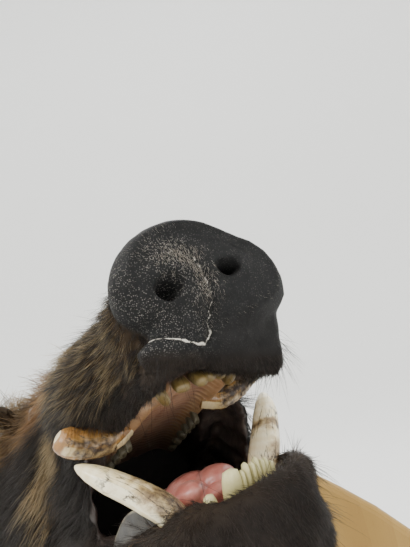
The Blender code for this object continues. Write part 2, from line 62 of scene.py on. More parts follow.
HEAD = (Matrix.Translation(HEAD_ORIGIN) @ Matrix.Rotation(HEAD_TURN, 4, "Z")
        @ Matrix.Rotation(-HEAD_RAISE, 4, "X"))
HEAD_AXES = np.array(HEAD.to_3x3()) * (1.0, -1.0, 1.0)  # columns: side, forward, height
SHIELD_FRONT = -0.0223

SIDES = ((1, "left"), (-1, "right"))
BAKE_MAP = "OFBake"

Array = np.ndarray
Item = bpy.types.Object
Mesh = bpy.types.Mesh
Material = bpy.types.Material
Row = Sequence[float]
Shape = tuple[Array, list, Array]  # points, faces, and the grain of each point
Rule = Callable[[Array, Array], Array]  # head place and skin zone to the share of the coat kept


# ---- small tools
def ease(low: float, high: float, value: Array) -> Array:
    """Smooth step from 0 at low to 1 at high."""
    share = np.clip((np.asarray(value, float) - low) / (high - low), 0.0, 1.0)
    return share * share * (3.0 - 2.0 * share)


def bell(distance: Array, width: float) -> Array:
    """Bell curve: 1 at no distance, 1/e at one width."""
    return np.exp(-(np.asarray(distance) / width) ** 2)


def to_head(points: Array) -> Array:
    """World metres as head-frame centimetres (side, forward, height)."""
    return (points - np.array(HEAD_ORIGIN)) @ HEAD_AXES / CM


def to_world(points: Array) -> Array:
    """Head-frame centimetres as world metres."""
    return np.asarray(points, float) * CM @ HEAD_AXES.T + np.array(HEAD_ORIGIN)


def unit(vectors: Array) -> Array:
    """Rows scaled to length one."""
    return vectors / np.maximum(np.linalg.norm(vectors, axis=-1, keepdims=True), 1e-9)


def beside(*columns: Array) -> Array:
    """Values side by side, one row for each point."""
    return np.stack(columns, axis=1)


def table(rows: Sequence[Row], at: Array) -> list[Array]:
    """Columns of a station table, read at any places along its first column."""
    grid = np.array(sorted(rows))
    return [np.interp(at, grid[:, 0], grid[:, k]) for k in range(1, grid.shape[1])]


CLOUD_PRIMES = np.array((73856093, 19349663, 83492791))
CLOUD_SEED, CLOUD_MIX = 2654435761, 1274126177


def cloud(points: Array, size: float, seed: int = 0) -> Array:
    """Smooth value noise between 0 and 1.

    Args:
        points: Rows of three coordinates.
        size: Width of one cell, in the same unit.
        seed: Chooses the pattern.

    Returns:
        One value for each point.
    """
    place = np.asarray(points, float) / size + 1000.0
    cell = np.floor(place).astype(np.int64)
    part = place - cell
    part = part * part * (3.0 - 2.0 * part)
    total = np.zeros(len(place))
    for corner in range(8):
        step = np.array([corner & 1, corner >> 1 & 1, corner >> 2 & 1])
        spot = cell + step
        key = np.bitwise_xor.reduce(spot * CLOUD_PRIMES, axis=1) ^ (seed * CLOUD_SEED)
        key = (key ^ (key >> 13)) * CLOUD_MIX
        chance = ((key ^ (key >> 16)) & 0xFFFF) / 65535.0
        total += chance * np.prod(np.where(step, part, 1.0 - part), axis=1)
    return total


def polyline_distance(points: Array, line: Sequence[Row]) -> Array:
    """Distance from each point to a chain of straight pieces, in any number of dimensions.

    Args:
        points: Rows of coordinates.
        line: The chain's corners, in order.

    Returns:
        One distance for each point.
    """
    points = np.asarray(points, float)
    best = np.full(len(points), 1e9)
    for start, end in zip(line, line[1:]):
        start, end = np.array(start, float), np.array(end, float)
        run = end - start
        share = np.clip((points - start) @ run / (run @ run), 0.0, 1.0)
        best = np.minimum(best, np.linalg.norm(points - start - share[:, None] * run, axis=1))
    return best


def curve_through(points: Sequence[Row], count: int) -> Array:
    """Evenly numbered points on a smooth curve through a few control points.

    Args:
        points: Control points, in order.
        count: How many points are wanted.

    Returns:
        Rows of coordinates.
    """
    knots = np.array(points, float)
    knots = np.vstack([2 * knots[0] - knots[1], knots, 2 * knots[-1] - knots[-2]])
    spots = np.linspace(0, len(points) - 1, count)
    index = np.minimum(spots.astype(int), len(points) - 2)
    u = (spots - index)[:, None]
    a, b, c, d = (knots[index + k] for k in range(4))
    bend, twist = 2 * a - 5 * b + 4 * c - d, 3 * b - a - 3 * c + d
    return 0.5 * (2 * b + (c - a) * u + bend * u ** 2 + twist * u ** 3)


# ---- mesh making
class Attribute(Enum):
    """How a value is kept on a mesh."""

    NUMBER = "FLOAT"
    COLOUR = "FLOAT_COLOR"
    VECTOR = "FLOAT_VECTOR"


def keep(mesh: Mesh, name: str, values: Array, kind: Attribute = Attribute.COLOUR) -> None:
    """Stores one value for each vertex as a named attribute.

    Args:
        mesh: Carries it.
        name: The attribute's name.
        values: One row for each vertex.
        kind: How it is kept.
    """
    layer = mesh.attributes.get(name) or mesh.attributes.new(name, kind.value, "POINT")
    field = {Attribute.NUMBER: "value", Attribute.COLOUR: "color", Attribute.VECTOR: "vector"}[kind]
    values = np.asarray(values, np.float32)
    if kind is Attribute.COLOUR and values.shape[1] == 3:
        values = np.hstack([values, np.ones((len(values), 1), np.float32)])
    layer.data.foreach_set(field, values.ravel())


def linked(name: str, data: bpy.types.ID) -> Item:
    """Puts a new object in the scene.

    Args:
        name: The object's name.
        data: Its mesh, lamp or camera.

    Returns:
        The object, at the origin.
    """
    item = bpy.data.objects.new(name, data)
    bpy.context.scene.collection.objects.link(item)
    return item


def seat(item: Item, slot: str, *nodes: str) -> Item:
    """Fixes a piece to the mount.

    Args:
        item: The piece.
        slot: The name of a finish slot; not used.
        nodes: The solids it stands for.

    Returns:
        The same piece.
    """
    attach(item, "root")
    if nodes:
        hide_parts(*nodes)
    return item


def piece(name: str, points: Array, faces: Iterable, material: Material) -> Item:
    """A smooth mesh object at the origin from world points and faces, facing outwards.

    Args:
        name: The piece's name.
        points: World places of its vertices.
        faces: Vertex numbers of each face.
        material: Its finish.

    Returns:
        The piece.
    """
    mesh = bpy.data.meshes.new(name)
    mesh.from_pydata(np.asarray(points).tolist(), [], [tuple(int(i) for i in face) for face in faces])
    bm = bmesh.new()
    bm.from_mesh(mesh)
    bmesh.ops.recalc_face_normals(bm, faces=bm.faces)
    bm.to_mesh(mesh)
    bm.free()
    mesh.shade_smooth()
    mesh.materials.append(material)
    item = linked(name, mesh)
    return item


def section(count: int, square: float) -> list[Array]:
    """Angles round a section, and its two coordinates: square 2 is a circle, and more is boxier."""
    angle = np.linspace(0, 2 * math.pi, count, endpoint=False)
    return [angle] + [np.sign(wave) * np.abs(wave) ** (2 / square) for wave in (np.cos(angle), np.sin(angle))]


def tube_faces(rows: int, columns: int) -> list[tuple[int, ...]]:
    """Faces of a tube of rings with a closed end at each end.

    Args:
        rows: How many rings.
        columns: Points in a ring.

    Returns:
        Vertex numbers of each face.
    """
    faces = []
    for r in range(rows - 1):
        for c in range(columns):
            here, n = r * columns, (c + 1) % columns
            faces.append((here + c, here + n, here + columns + n, here + columns + c))
    faces.append(tuple(range(columns)))
    faces.append(tuple(range((rows - 1) * columns, rows * columns)))
    return faces


def slab(rows: Array, columns: Array, top: Callable[[Array, Array], Array], thick: Row | Array) -> Shape:
    """A closed sheet over a grid.

    Args:
        rows: First grid values.
        columns: Second grid values.
        top: Gives head-frame places for grids of both.
        thick: Where its back stands from its face, in centimetres, for all of it or for each point.

    Returns:
        Points, faces and the grid values of each point.
    """
    a, b = np.meshgrid(rows, columns, indexing="ij")
    face = top(a, b).reshape(-1, 3)
    back = face + thick
    m, n = a.shape
    half = m * n
    faces = []
    for r in range(m - 1):
        for c in range(n - 1):
            k = r * n + c
            faces.append((k, k + 1, k + n + 1, k + n))
            faces.append((half + k, half + k + n, half + k + n + 1, half + k + 1))
    rim = list(range(n)) + [r * n + n - 1 for r in range(1, m)]
    rim += [(m - 1) * n + c for c in range(n - 2, -1, -1)] + [r * n for r in range(m - 2, 0, -1)]
    for p, q in zip(rim, rim[1:] + rim[:1]):
        faces.append((p, half + p, half + q, q))
    grid = beside(a.ravel(), b.ravel())
    return np.concatenate([face, back]), faces, np.concatenate([grid, grid])


def pull(values: bpy.types.bpy_prop_collection, field: str, width: int, kind: type = float) -> Array:
    """Reads one field of everything in a list of Blender's.

    Args:
        values: The list, such as a mesh's vertices.
        field: The field's name.
        width: How many numbers it holds.
        kind: What kind of number.

    Returns:
        One row for each thing in the list.
    """
    out = np.empty(len(values) * width, kind)
    values.foreach_get(field, out)
    return out.reshape(-1, width)


def co(mesh: Mesh) -> Array:
    """Vertex places of a mesh."""
    return pull(mesh.vertices, "co", 3)


def set_co(mesh: Mesh, points: Array) -> None:
    """Moves a mesh's vertices."""
    mesh.vertices.foreach_set("co", points.ravel())
    mesh.update()


def facing(mesh: Mesh) -> Array:
    """Vertex normals of a mesh."""
    return pull(mesh.vertex_normals, "vector", 3)


def applied(item: Item) -> None:
    """Turns an object's live modifiers into its plain mesh.

    Args:
        item: The object.
    """
    graph = bpy.context.evaluated_depsgraph_get()
    graph.update()
    mesh = bpy.data.meshes.new_from_object(item.evaluated_get(graph))
    item.modifiers.clear()
    item.data = mesh


def ball(bm: bmesh.types.BMesh, centre: Row, radii: Row) -> None:
    """Adds an ellipsoid, in head-frame centimetres, to a mesh being built."""
    for vert in bmesh.ops.create_icosphere(bm, subdivisions=3, radius=1.0)["verts"]:
        vert.co = to_world(np.array(vert.co) * radii + centre)


def fused(name: str, bm: bmesh.types.BMesh, voxel: float, rounds: int) -> Item:
    """Runs closed shapes together into one soft skin.

    Args:
        name: The piece's name.
        bm: The shapes; freed here.
        voxel: How finely they are joined, in metres.
        rounds: How many times the skin is softened.

    Returns:
        The piece, without a finish.
    """
    mesh = bpy.data.meshes.new(name)
    bm.to_mesh(mesh)
    bm.free()
    item = linked(name, mesh)
    remesh = item.modifiers.new("one_skin", "REMESH")
    remesh.mode = "VOXEL"
    remesh.voxel_size = voxel
    soften = item.modifiers.new("soften", "SMOOTH")
    soften.factor = 0.5
    soften.iterations = rounds
    applied(item)
    return item


def lay_out(mesh: Mesh, places: Array) -> None:
    """Gives a coat piece its map, one place for each face corner."""
    mesh.uv_layers.new(name=BAKE_MAP).uv.foreach_set("vector", places.astype(np.float32).ravel())


def relax(mesh: Mesh, points: Array, share: Array, rounds: int) -> Array:
    """Points moved towards the mean of their neighbours.

    Args:
        mesh: Gives the edges.
        points: Places to smooth.
        share: How much each one moves, 0 to 1.
        rounds: How many times.

    Returns:
        The smoothed places.
    """
    edges = pull(mesh.edges, "vertices", 2, np.int64)
    count = np.maximum(np.bincount(edges.ravel(), minlength=len(points)), 1)[:, None]
    ends, others = np.concatenate([edges[:, 0], edges[:, 1]]), np.concatenate([edges[:, 1], edges[:, 0]])
    for _ in range(rounds):
        total = beside(*(np.bincount(ends, points[others, k], len(points)) for k in range(3)))
        points = points + share[:, None] * (total / count - points)
    return points


# ---- materials
NODE_FAMILIES = ("ShaderNode", "GeometryNode", "FunctionNode", "Node")
SUMS = {"+": "Math ADD", "-": "Math SUBTRACT", "*": "Math MULTIPLY"}
Output = bpy.types.NodeSocket
AddNode = Callable[..., Output]


def linear(code: str) -> tuple[float, float, float, float]:
    """An sRGB hex colour as linear red, green, blue and alpha."""
    parts = [int(code[i:i + 2], 16) / 255 for i in (1, 3, 5)]
    return (*[p / 12.92 if p <= 0.04045 else ((p + 0.055) / 1.055) ** 2.4 for p in parts], 1.0)


def add(tree: bpy.types.NodeTree, kind: str, *values: object, out: str | None = None,
        **named: object) -> Output:
    """Adds a node with its settings and links.

    Args:
        tree: The tree it goes in.
        kind: One of SUMS, or Blender's type name without its family; a second word is its operation or
            data type.
        values: Numbers, hex colours or outputs for the inputs in use, in order.
        out: Name of the output wanted, where it isn't the first in use.
        named: Settings in small letters ("ramp" takes (place, hex colour) pairs), and further inputs by
            their names, with _ for a space.

    Returns:
        The wanted output of the new node, or None where it has none.
    """
    kind, _, way = SUMS.get(kind, kind).partition(" ")
    family = next(family for family in NODE_FAMILIES if hasattr(bpy.types, family + kind))
    node = tree.nodes.new(family + kind)
    if way:
        setattr(node, "operation" if hasattr(node, "operation") else "data_type", way)
    inputs = {}
    for name, value in named.items():
        if name == "ramp":
            stops = node.color_ramp.elements
            while len(stops) < len(value):
                stops.new(0.5)
            for stop, (place, code) in zip(stops, value):
                stop.position, stop.color = place, linear(code)
        elif name.islower():
            setattr(node, name, value)
        else:
            inputs[node.inputs[name.replace("_", " ")]] = value
    inputs.update(zip([socket for socket in node.inputs if socket.enabled], values))
    for socket, value in inputs.items():
        if isinstance(value, Output):
            tree.links.new(value, socket)
        else:
            socket.default_value = linear(value) if str(value).startswith("#") else value
    if out:
        return node.outputs[out]
    return next((socket for socket in node.outputs if socket.enabled), None)


@dataclass(frozen=True)
class Finish:
    """What every finish has: a name, and one Principled shader that its look feeds."""

    name: str

    def look(self, node: AddNode) -> dict[str, object]:
        """What feeds the shader.

        Args:
            node: Adds a node to the material's tree.

        Returns:
            Values and outputs for the shader's sockets, with _ for a space.
        """
        raise NotImplementedError

    @staticmethod
    def read(node: AddNode, name: str) -> Sequence[Output]:
        """The three values kept in a piece's colour attribute."""
        return node("SeparateColor", node("Attribute", out="Color", attribute_name=name)).node.outputs

    def make(self) -> Material:
        """Builds the material.

        Returns:
            The material, named as the finish is.
        """
        material = bpy.data.materials.new(self.name)
        material.use_nodes = True
        material.node_tree.nodes.clear()
        node = partial(add, material.node_tree)
        node("OutputMaterial", node("BsdfPrincipled", **self.look(node)))
        return material


@dataclass(frozen=True)
class Hide(Finish):
    """Tanned hide: dark and dull under the coat, bare and grainy on the snout, moist at the lips."""

    grain_mm: float = 1.15  # raised granules of the snout disc
    wrinkle_mm: float = 5.0

    def look(self, node: AddNode) -> dict[str, object]:
        """Furred skin, then the bare disc, then moist lips over it, then painted shade inside the mouth and
        on the left upper lip; Args and Returns as in Finish.
        """
        place = node("TexCoord", out="Object")
        disc, moist, crack = self.read(node, "zone")
        pale, granules, shade = self.read(node, "tint")
        blotch = node("TexNoise", Vector=place, Scale=55.0, Detail=6.0, Roughness=0.62)
        fine = node("TexNoise", Vector=place, Scale=900.0, Detail=3.0)
        under = node("ValToRGB", blotch, ramp=((0.3, "#141110"), (0.55, "#1f1a17"), (0.8, "#2b241f")))
        furred = node("Mix RGBA", node("*", pale, 0.45), under, "#5d492e")
        # granules: pale worn tops on charcoal skin
        cells = node("TexVoronoi", Vector=place, Scale=1000.0 / self.grain_mm, Randomness=0.9)
        patches = node("TexNoise", Vector=place, Scale=75.0, Detail=4.0, Roughness=0.7)
        tops = node("MapRange", cells, 0.34, 0.12)
        worn = node("MapRange", patches, 0.34, 0.64, 0.10, 0.85)
        dots = node("*", node("*", tops, worn), granules)
        leather = node("ValToRGB", patches, ramp=((0.25, "#101010"), (0.55, "#191919"), (0.85, "#262526")))
        dotted = node("Mix RGBA", dots, leather, "#9a958e")
        jag = node("TexNoise", Vector=place, Scale=320.0, Detail=5.0, Roughness=0.7)
        split = node("+", crack, node("*", node("-", jag, 0.5), 0.40))
        bare = node("Mix RGBA", node("MapRange", split, 0.88, 0.95), dotted, "#c9c3b7")
        wet = node("ValToRGB", blotch, ramp=((0.3, "#2a2422"), (0.6, "#4a403b"), (0.85, "#85766a")))
        colour = node("Mix RGBA", moist, node("Mix RGBA", disc, furred, bare), wet)
        # painted shade: mixes towards near-black where the tint's third value is high, deep in the mouth and
        # on the left upper lip
        colour = node("Mix RGBA", shade, colour, "#0f0c0a")
        gloss = node("*", moist, node("-", 1.0, shade))
        rough = node("-", 0.78, node("*", disc, 0.20))
        rough = node("-", rough, node("*", gloss, 0.40))
        rough = node("+", rough, node("*", dots, 0.15), use_clamp=True)
        height = node("*", tops, node("*", disc, granules))
        height = node("+", height, node("*", fine, 0.5))
        grainy = node("Bump", Strength=0.55, Distance=0.0005, Height=height)
        folds = node("TexNoise", Vector=place, Scale=1000.0 / self.wrinkle_mm, Detail=5.0, Distortion=0.6)
        folded = node("Bump", Strength=0.45, Distance=0.0012, Height=folds, Normal=grainy)
        return dict(Base_Color=colour, Roughness=rough, Normal=folded, IOR=1.45, Specular_IOR_Level=0.16,
                    Coat_Weight=node("*", gloss, 0.45), Coat_Roughness=0.16)


@dataclass(frozen=True)
class Bristle(Finish):
    """Boar bristle: stiff keratin, dark at the root, split and paler at the tip, with a soft gloss."""

    straw: tuple[str, str, str] = ("#3a2c1c", "#8d7a58", "#c8b992")  # pale hairs from root to tip

    def look(self, node: AddNode) -> dict[str, object]:
        """Dark, straw or golden along each hair; Args and Returns as in Finish."""
        pale, along, chance = self.read(node, "hair")
        dark = node("ValToRGB", along, ramp=(
            (0.0, "#0c0a09"), (0.5, "#1b1714"), (0.85, "#2e2722"), (1.0, "#594d40")))
        brown = node("Mix RGBA", node("*", chance, 0.8), dark, "#30251c")
        straw = node("ValToRGB", along, ramp=tuple(zip((0.0, 0.45, 1.0), self.straw)))
        gold = node("ValToRGB", along, ramp=((0.0, "#2c1d11"), (0.5, "#724b28"), (1.0, "#a47a48")))
        light = node("Mix RGBA", chance, straw, gold)
        return dict(Base_Color=node("Mix RGBA", pale, brown, light), Roughness=0.5, IOR=1.55,
                    Specular_IOR_Level=0.22)


@dataclass(frozen=True)
class Ivory(Finish):
    """Tusk ivory: hard and glossy, ringed by growth, cracked and stained along its length."""

    body: str = "#e6dfcf"
    shade: str = "#b9a988"
    stain: str = "#4a3420"
    amount: float = 0.5  # how much of it is stained
    band_mm: float = 2.2
    rim: str = "#e6dfcf"  # along its edges and tip

    def look(self, node: AddNode) -> dict[str, object]:
        """Rings, pale rim, dirt and cracks by the tusk's own grain; Args and Returns as in Finish."""
        place = node("TexCoord", out="Object")
        along, around, worn = self.read(node, "grain")
        rim = node("Attribute", out="Fac", attribute_name="rim")
        wander = node("TexNoise", Vector=place, Scale=90.0, Detail=5.0, Roughness=0.6)
        fine = node("TexNoise", Vector=place, Scale=420.0, Detail=4.0, Roughness=0.7)
        blots = node("TexNoise", Vector=place, Scale=170.0, Detail=6.0, Roughness=0.65)
        strands = node("CombineXYZ", node("*", along, 3.0), node("*", around, 9.0),
                       node("*", wander, 1.2))
        streak = node("TexNoise", Vector=strands, Scale=1.0, Detail=6.0, Roughness=0.6)
        rings = node("Math SINE", node("+", node("*", along, 260.0 / self.band_mm),
                                       node("*", wander, 9.0)))
        base = node("Mix RGBA", node("MapRange", streak, 0.35, 0.75), self.body, self.shade)
        ringed = node("Mix RGBA", node("*", node("+", rings, 1.0), 0.14), base, self.shade,
                      blend_type="MULTIPLY")
        edged = node("+", rim, node("*", blots, 0.3))
        pale = node("MapRange", edged, 0.55, 0.85, 0.0, 0.85)
        rimmed = node("Mix RGBA", pale, ringed, self.rim)
        dirt = node("+", node("*", blots, 0.8), node("*", worn, 0.36))
        edge = 1.02 - 0.42 * self.amount
        dirty = node("MapRange", dirt, edge - 0.22, edge + 0.02)
        yellow = node("MapRange", dirt, edge - 0.36, edge - 0.12, 0.0, 0.7)
        warped = node("VectorMath MULTIPLY_ADD", strands, (1.1, 0.45, 1.0), streak.node.outputs["Color"])
        cracks = node("TexVoronoi", Vector=warped, Scale=1.0, feature="DISTANCE_TO_EDGE")
        there = node("MapRange", node("+", wander, node("*", worn, 0.2)), 0.47, 0.60)
        mark = node("*", node("MapRange", cracks, 0.045, 0.005), there)
        stained = node("Mix RGBA", dirty, node("Mix RGBA", yellow, rimmed, "#a8874f"), self.stain)
        rough = node("+", 0.22, node("*", dirty, 0.38))
        sunk = node("+", node("*", mark, 1.6), node("*", fine, 0.3))
        relief = node("-", node("*", rings, 0.15), sunk)
        return dict(Base_Color=node("Mix RGBA", mark, stained, "#2c2017"), Roughness=rough, IOR=1.54,
                    Normal=node("Bump", Strength=0.3, Distance=0.0005, Height=relief), Coat_Weight=0.2,
                    Coat_Roughness=0.15)


@dataclass(frozen=True)
class Flesh(Finish):
    """Painted and varnished mouth flesh: blotched colour under a wet-looking gloss."""

    low: str = "#7d4434"
    mid: str = "#b97b5e"
    high: str = "#d8a684"
    # the colour that painted shade darkens the flesh to, deep in the mouth
    deep: str = "#2a1813"  # in the throat
    gloss: float = 0.28
    blotch_mm: float = 9.0
    tinge: str = "#4b352d"  # where it is bruised, or off its main colour

    def look(self, node: AddNode) -> dict[str, object]:
        """Blotches, painted shade by depth in the mouth, ridge and bruise; Args and Returns as in Finish."""
        place = node("TexCoord", out="Object")
        depth, ridge, bruise = self.read(node, "grain")
        blotch = node("TexNoise", Vector=place, Scale=1000.0 / self.blotch_mm, Detail=5.0, Roughness=0.6)
        fine = node("TexNoise", Vector=place, Scale=1500.0, Detail=2.0)
        tone = node("+", node("*", blotch, 0.7), node("*", ridge, 0.42))
        colour = node("ValToRGB", tone, ramp=((0.22, self.low), (0.45, self.mid), (0.72, self.high)))
        # painted shade: towards the deep colour where the depth value is high
        colour = node("Mix RGBA", depth, node("Mix RGBA", bruise, colour, self.tinge), self.deep)
        height = node("+", node("*", blotch, 0.6), node("*", fine, 0.25))
        rough = node("+", self.gloss, node("*", blotch, 0.18))
        return dict(Base_Color=colour, Roughness=rough, IOR=1.4, Coat_Weight=0.3, Coat_Roughness=0.15,
                    Normal=node("Bump", Strength=0.3, Distance=0.0008, Height=height),
                    Subsurface_Weight=0.06, Subsurface_Scale=0.004)


@dataclass(frozen=True)
class Enamel(Finish):
    """Tooth enamel: yellowed, ridged lengthwise, brown at the neck of the tooth."""

    neck: str = "#614c2a"
    body: str = "#ab9c62"
    tip: str = "#cdc592"

    def look(self, node: AddNode) -> dict[str, object]:
        """Flutes, and colour by height up the tooth; Args and Returns as in Finish."""
        up, pearl, around = self.read(node, "grain")
        place = node("TexCoord", out="Object")
        blotch = node("TexNoise", Vector=place, Scale=260.0, Detail=5.0, Roughness=0.6)
        tone = node("+", node("*", up, 0.62), node("*", blotch, 0.35))
        colour = node("ValToRGB", tone, ramp=((0.1, self.neck), (0.42, self.body), (0.75, self.tip)))
        flutes = node("Math SINE", node("*", around, 75.0))
        relief = node("+", node("*", flutes, 0.3), blotch)
        return dict(Base_Color=node("Mix RGBA", pearl, colour, "#57513f"), IOR=1.5,
                    Roughness=node("+", 0.28, node("*", blotch, 0.2)),
                    Normal=node("Bump", Strength=0.35, Distance=0.0004, Height=relief))


@dataclass(frozen=True)
class EyeGlass(Finish):
    """Taxidermist's glass eye: dark brown iris round a wide pupil under clear, hard gloss."""

    def look(self, node: AddNode) -> dict[str, object]:
        """Pupil, iris and white by the angle from the gaze; Args and Returns as in Finish."""
        angle = self.read(node, "grain")[0]
        fleck = node("TexNoise", Vector=node("TexCoord", out="Object"), Scale=900.0, Detail=4.0)
        ring = node("+", angle, node("*", node("-", fleck, 0.5), 0.06))
        iris = node("ValToRGB", ring, ramp=((0.0, "#040303"), (0.19, "#050404"), (0.23, "#4a2812"),
                                            (0.40, "#321a0c"), (0.45, "#0d0806"), (0.62, "#3a2620")))
        rough = node("+", 0.05, node("*", angle, 0.05))
        return dict(Base_Color=iris, Roughness=rough, IOR=1.45, Specular_IOR_Level=0.25, Coat_Weight=0.12,
                    Coat_Roughness=0.03)


@dataclass(frozen=True)
class PaleWood(Finish):
    """Oiled pale hardwood board: fine straight grain up the shield, soft satin sheen."""

    ring_mm: float = 7.0

    def look(self, node: AddNode) -> dict[str, object]:
        """Growth rings and pores drawn out along the board; Args and Returns as in Finish."""
        place = node("TexCoord", out="Object")
        stretched = node("Mapping", Vector=place, Scale=(1.0, 1.0, 0.12))
        broad = node("TexNoise", Vector=stretched, Scale=9.0, Detail=3.0)
        wave = node("TexWave", Vector=stretched, Scale=50.0 / self.ring_mm, Distortion=5.0, Detail=3.0,
                    Detail_Scale=1.2, Detail_Roughness=0.6, wave_type="BANDS", bands_direction="X",
                    wave_profile="SAW")
        pores = node("TexNoise", Vector=node("Mapping", Vector=place, Scale=(1.0, 1.0, 0.05)), Scale=900.0,
                     Detail=4.0, Roughness=0.7)
        base = node("ValToRGB", broad, ramp=((0.25, "#93733a"), (0.5, "#9f7e42"), (0.8, "#ab8a50")))
        grained = node("Mix RGBA", node("*", wave, 0.30), base, "#8a6836")
        colour = node("Mix RGBA", node("MapRange", pores, 0.58, 0.72, 0.0, 0.35), grained, "#664a26")
        return dict(Base_Color=colour, Roughness=node("+", 0.46, node("*", pores, 0.16)),
                    Normal=node("Bump", Strength=0.15, Distance=0.0003, Height=pores), IOR=1.5,
                    Specular_IOR_Level=0.28)


@dataclass(frozen=True)
class ZincSteel(Finish):
    """Zinc-plated pressed steel: cool grey, faintly mottled, half bright."""

    def look(self, node: AddNode) -> dict[str, object]:
        """Faint spangle in tone and gloss; Args and Returns as in Finish."""
        spangle = node("TexVoronoi", Vector=node("TexCoord", out="Object"), Scale=160.0)
        tone = node("ValToRGB", spangle, ramp=((0.2, "#9aa0a5"), (0.8, "#b9bec2")))
        return dict(Base_Color=tone, Metallic=1.0, Roughness=node("MapRange", spangle, 0.0, 1.0, 0.32, 0.45))


@dataclass(frozen=True)
class StudioPaper(Finish):
    """Matt pale background paper."""

    colour: str = "#fafaf8"

    def look(self, node: AddNode) -> dict[str, object]:
        """One plain tone, since it is only the backdrop."""
        return dict(Base_Color=self.colour, Roughness=0.9)


# ---- skin
class Skin:
    """The single hide that replaces the flesh solids."""

    NODES = ("head", "muzzle", "snout", "lower_jaw", "neck", "ear_left", "ear_right")
    VOXEL = 0.0036
    THINNED = 0.36  # share of faces left once the furred part is made coarser
    BARE = 0.02  # coat depth, in centimetres, under which the hide counts as bare
    SOFTENED, SMOOTHED, ROUNDS = 0.5, 0.6, 3  # how far it is relaxed, under the coat and where it is fine
    OVERLAP = 0.0006  # closes the gaps between the solids
    EYE = (5.3, -16.6, 8.4)  # head
    EYE_RADIUS = 1.2
    EAR_ROOT = (7.6, -23.0, 9.4)
    EAR_ALONG = (0.46, -0.74, 0.50)
    ROOF = ((7.4, 1.2, 1.5), (6.6, 2.3, 1.5), (6.0, 2.8, 1.6), (4.0, 3.5, 1.7), (1.0, 3.7, 1.7),
        (-4.0, 4.1, 1.7), (-11.0, 4.8, 1.0))
    FLOOR = ((6.2, 2.2, -7.6), (5.0, 3.2, -8.2), (3.4, 3.9, -8.6), (0.0, 4.3, -8.9), (-5.0, 4.6, -8.6),
        (-11.0, 5.0, -7.6))
    NOSTRILS = ((-1.85, 4.6), (1.8, 4.85))  # side, height
    # flesh that fills the sockets of the eyes, tusks and nostrils: side, lean, forward, height, radii
    SOCKETS = ((4.7, 0.0, -16.5, 8.2, (1.35, 2.3, 1.9)), (4.25, -0.15, 0.2, 1.6, (1.35, 1.7, 1.4)),
               (3.8, 0.0, 2.4, -7.6, (1.3, 1.6, 2.0)), (1.75, 0.1, 9.6, 4.5, (1.3, 1.0, 1.1)))
    # front edge of the cheek inside the lips, from below up: height, forward
    CHEEK_FRONT = {
        1: ((-6.6, -3.2), (-4.25, -2.6), (-2.0, -1.0), (-1.2, -0.2), (-0.5, -0.3), (0.8, -1.6)),
        -1: ((-6.6, -4.2), (-4.25, -4.0), (-3.0, -3.5), (-1.6, -2.8), (-0.6, -2.4), (0.8, -2.6)),
    }
    CHEEK_FOOT, CHEEK_TOP, CHEEK_BACK, CHEEK_HALF = -6.6, 0.8, -12.4, 0.42
    # dark lip flesh that closes the front of the mouth: centre and radii
    LIPS = ((2.2, 7.2, 1.3, 2.3, 1.0, 1.1), (0.6, 7.4, 0.85, 0.9, 0.85, 0.95),
        (1.6, 7.5, 0.5, 0.95, 0.85, 0.95), (2.6, 7.5, 0.2, 0.95, 0.85, 0.95),
        (3.4, 7.5, 0.0, 0.9, 0.85, 1.0), (3.95, 7.5, -0.45, 0.75, 0.8, 0.85),
        (4.2, 7.6, 0.6, 1.0, 1.0, 1.3), (4.7, 7.9, 2.2, 1.0, 1.0, 1.6), (-3.3, 6.1, 1.2, 1.1, 1.3, 0.85),
        (-2.5, 7.2, 1.4, 1.3, 0.9, 0.85), (-4.1, 3.9, 1.0, 0.8, 1.9, 0.85),
        (-2.0, 8.3, 1.95, 2.4, 1.2, 0.85), (1.8, 8.2, 1.6, 2.4, 1.1, 1.0), (-0.7, 7.1, 1.3, 1.0, 0.8, 0.7),
        (-4.2, 1.9, 1.0, 0.8, 1.6, 0.8))
    CRACK = ((-3.75, 2.6), (-3.0, 2.3), (-1.8, 1.65), (-1.07, 1.35), (-0.59, 1.4), (-0.1, 1.8), (0.0, 2.4),
        (0.35, 3.3), (0.3, 4.0), (0.15, 4.8), (-0.15, 5.6))

    def __init__(self, finish: Material) -> None:
        """Takes the hide's finish."""
        self.finish = finish
        self.item = None

    def web(self, bm: bmesh.types.BMesh, sign: float) -> None:
        """Adds the cheek that joins the lips at one corner of the mouth.

        Args:
            bm: The flesh being built.
            sign: 1 for the left side, -1 for the right.
        """
        def inner(height: Array, t: Array) -> Array:
            """Head place of the cheek's lining at a height and a share of the way back.

            Args:
                height: Heights in the head frame.
                t: Shares of the way to the throat.

            Returns:
                Head-frame places.
            """
            edge = table(self.CHEEK_FRONT[sign], height)[0]
            side = 5.9 + 0.9 * t + 0.25 * np.sin((height - self.CHEEK_FOOT) * 0.42)
            return np.stack([sign * (side - self.CHEEK_HALF * swell(t)),
                             edge + (self.CHEEK_BACK - edge) * t ** 1.4, height], axis=-1)

        def swell(t: Array) -> Array:
            """How much thicker the cheek is towards its front edge."""
            return 1.0 + 0.5 * bell(t, 0.12)

        heights, back = np.linspace(self.CHEEK_FOOT, self.CHEEK_TOP, 15), np.linspace(0, 1, 11)
        thick = sign * 2 * self.CHEEK_HALF * np.tile(swell(back), len(heights))
        points, faces, _ = slab(heights, back, inner, thick[:, None] * (1.0, 0.0, 0.0))
        verts = [bm.verts.new(place) for place in to_world(points)]
        for face in faces:
            bm.faces.new([verts[i] for i in face])

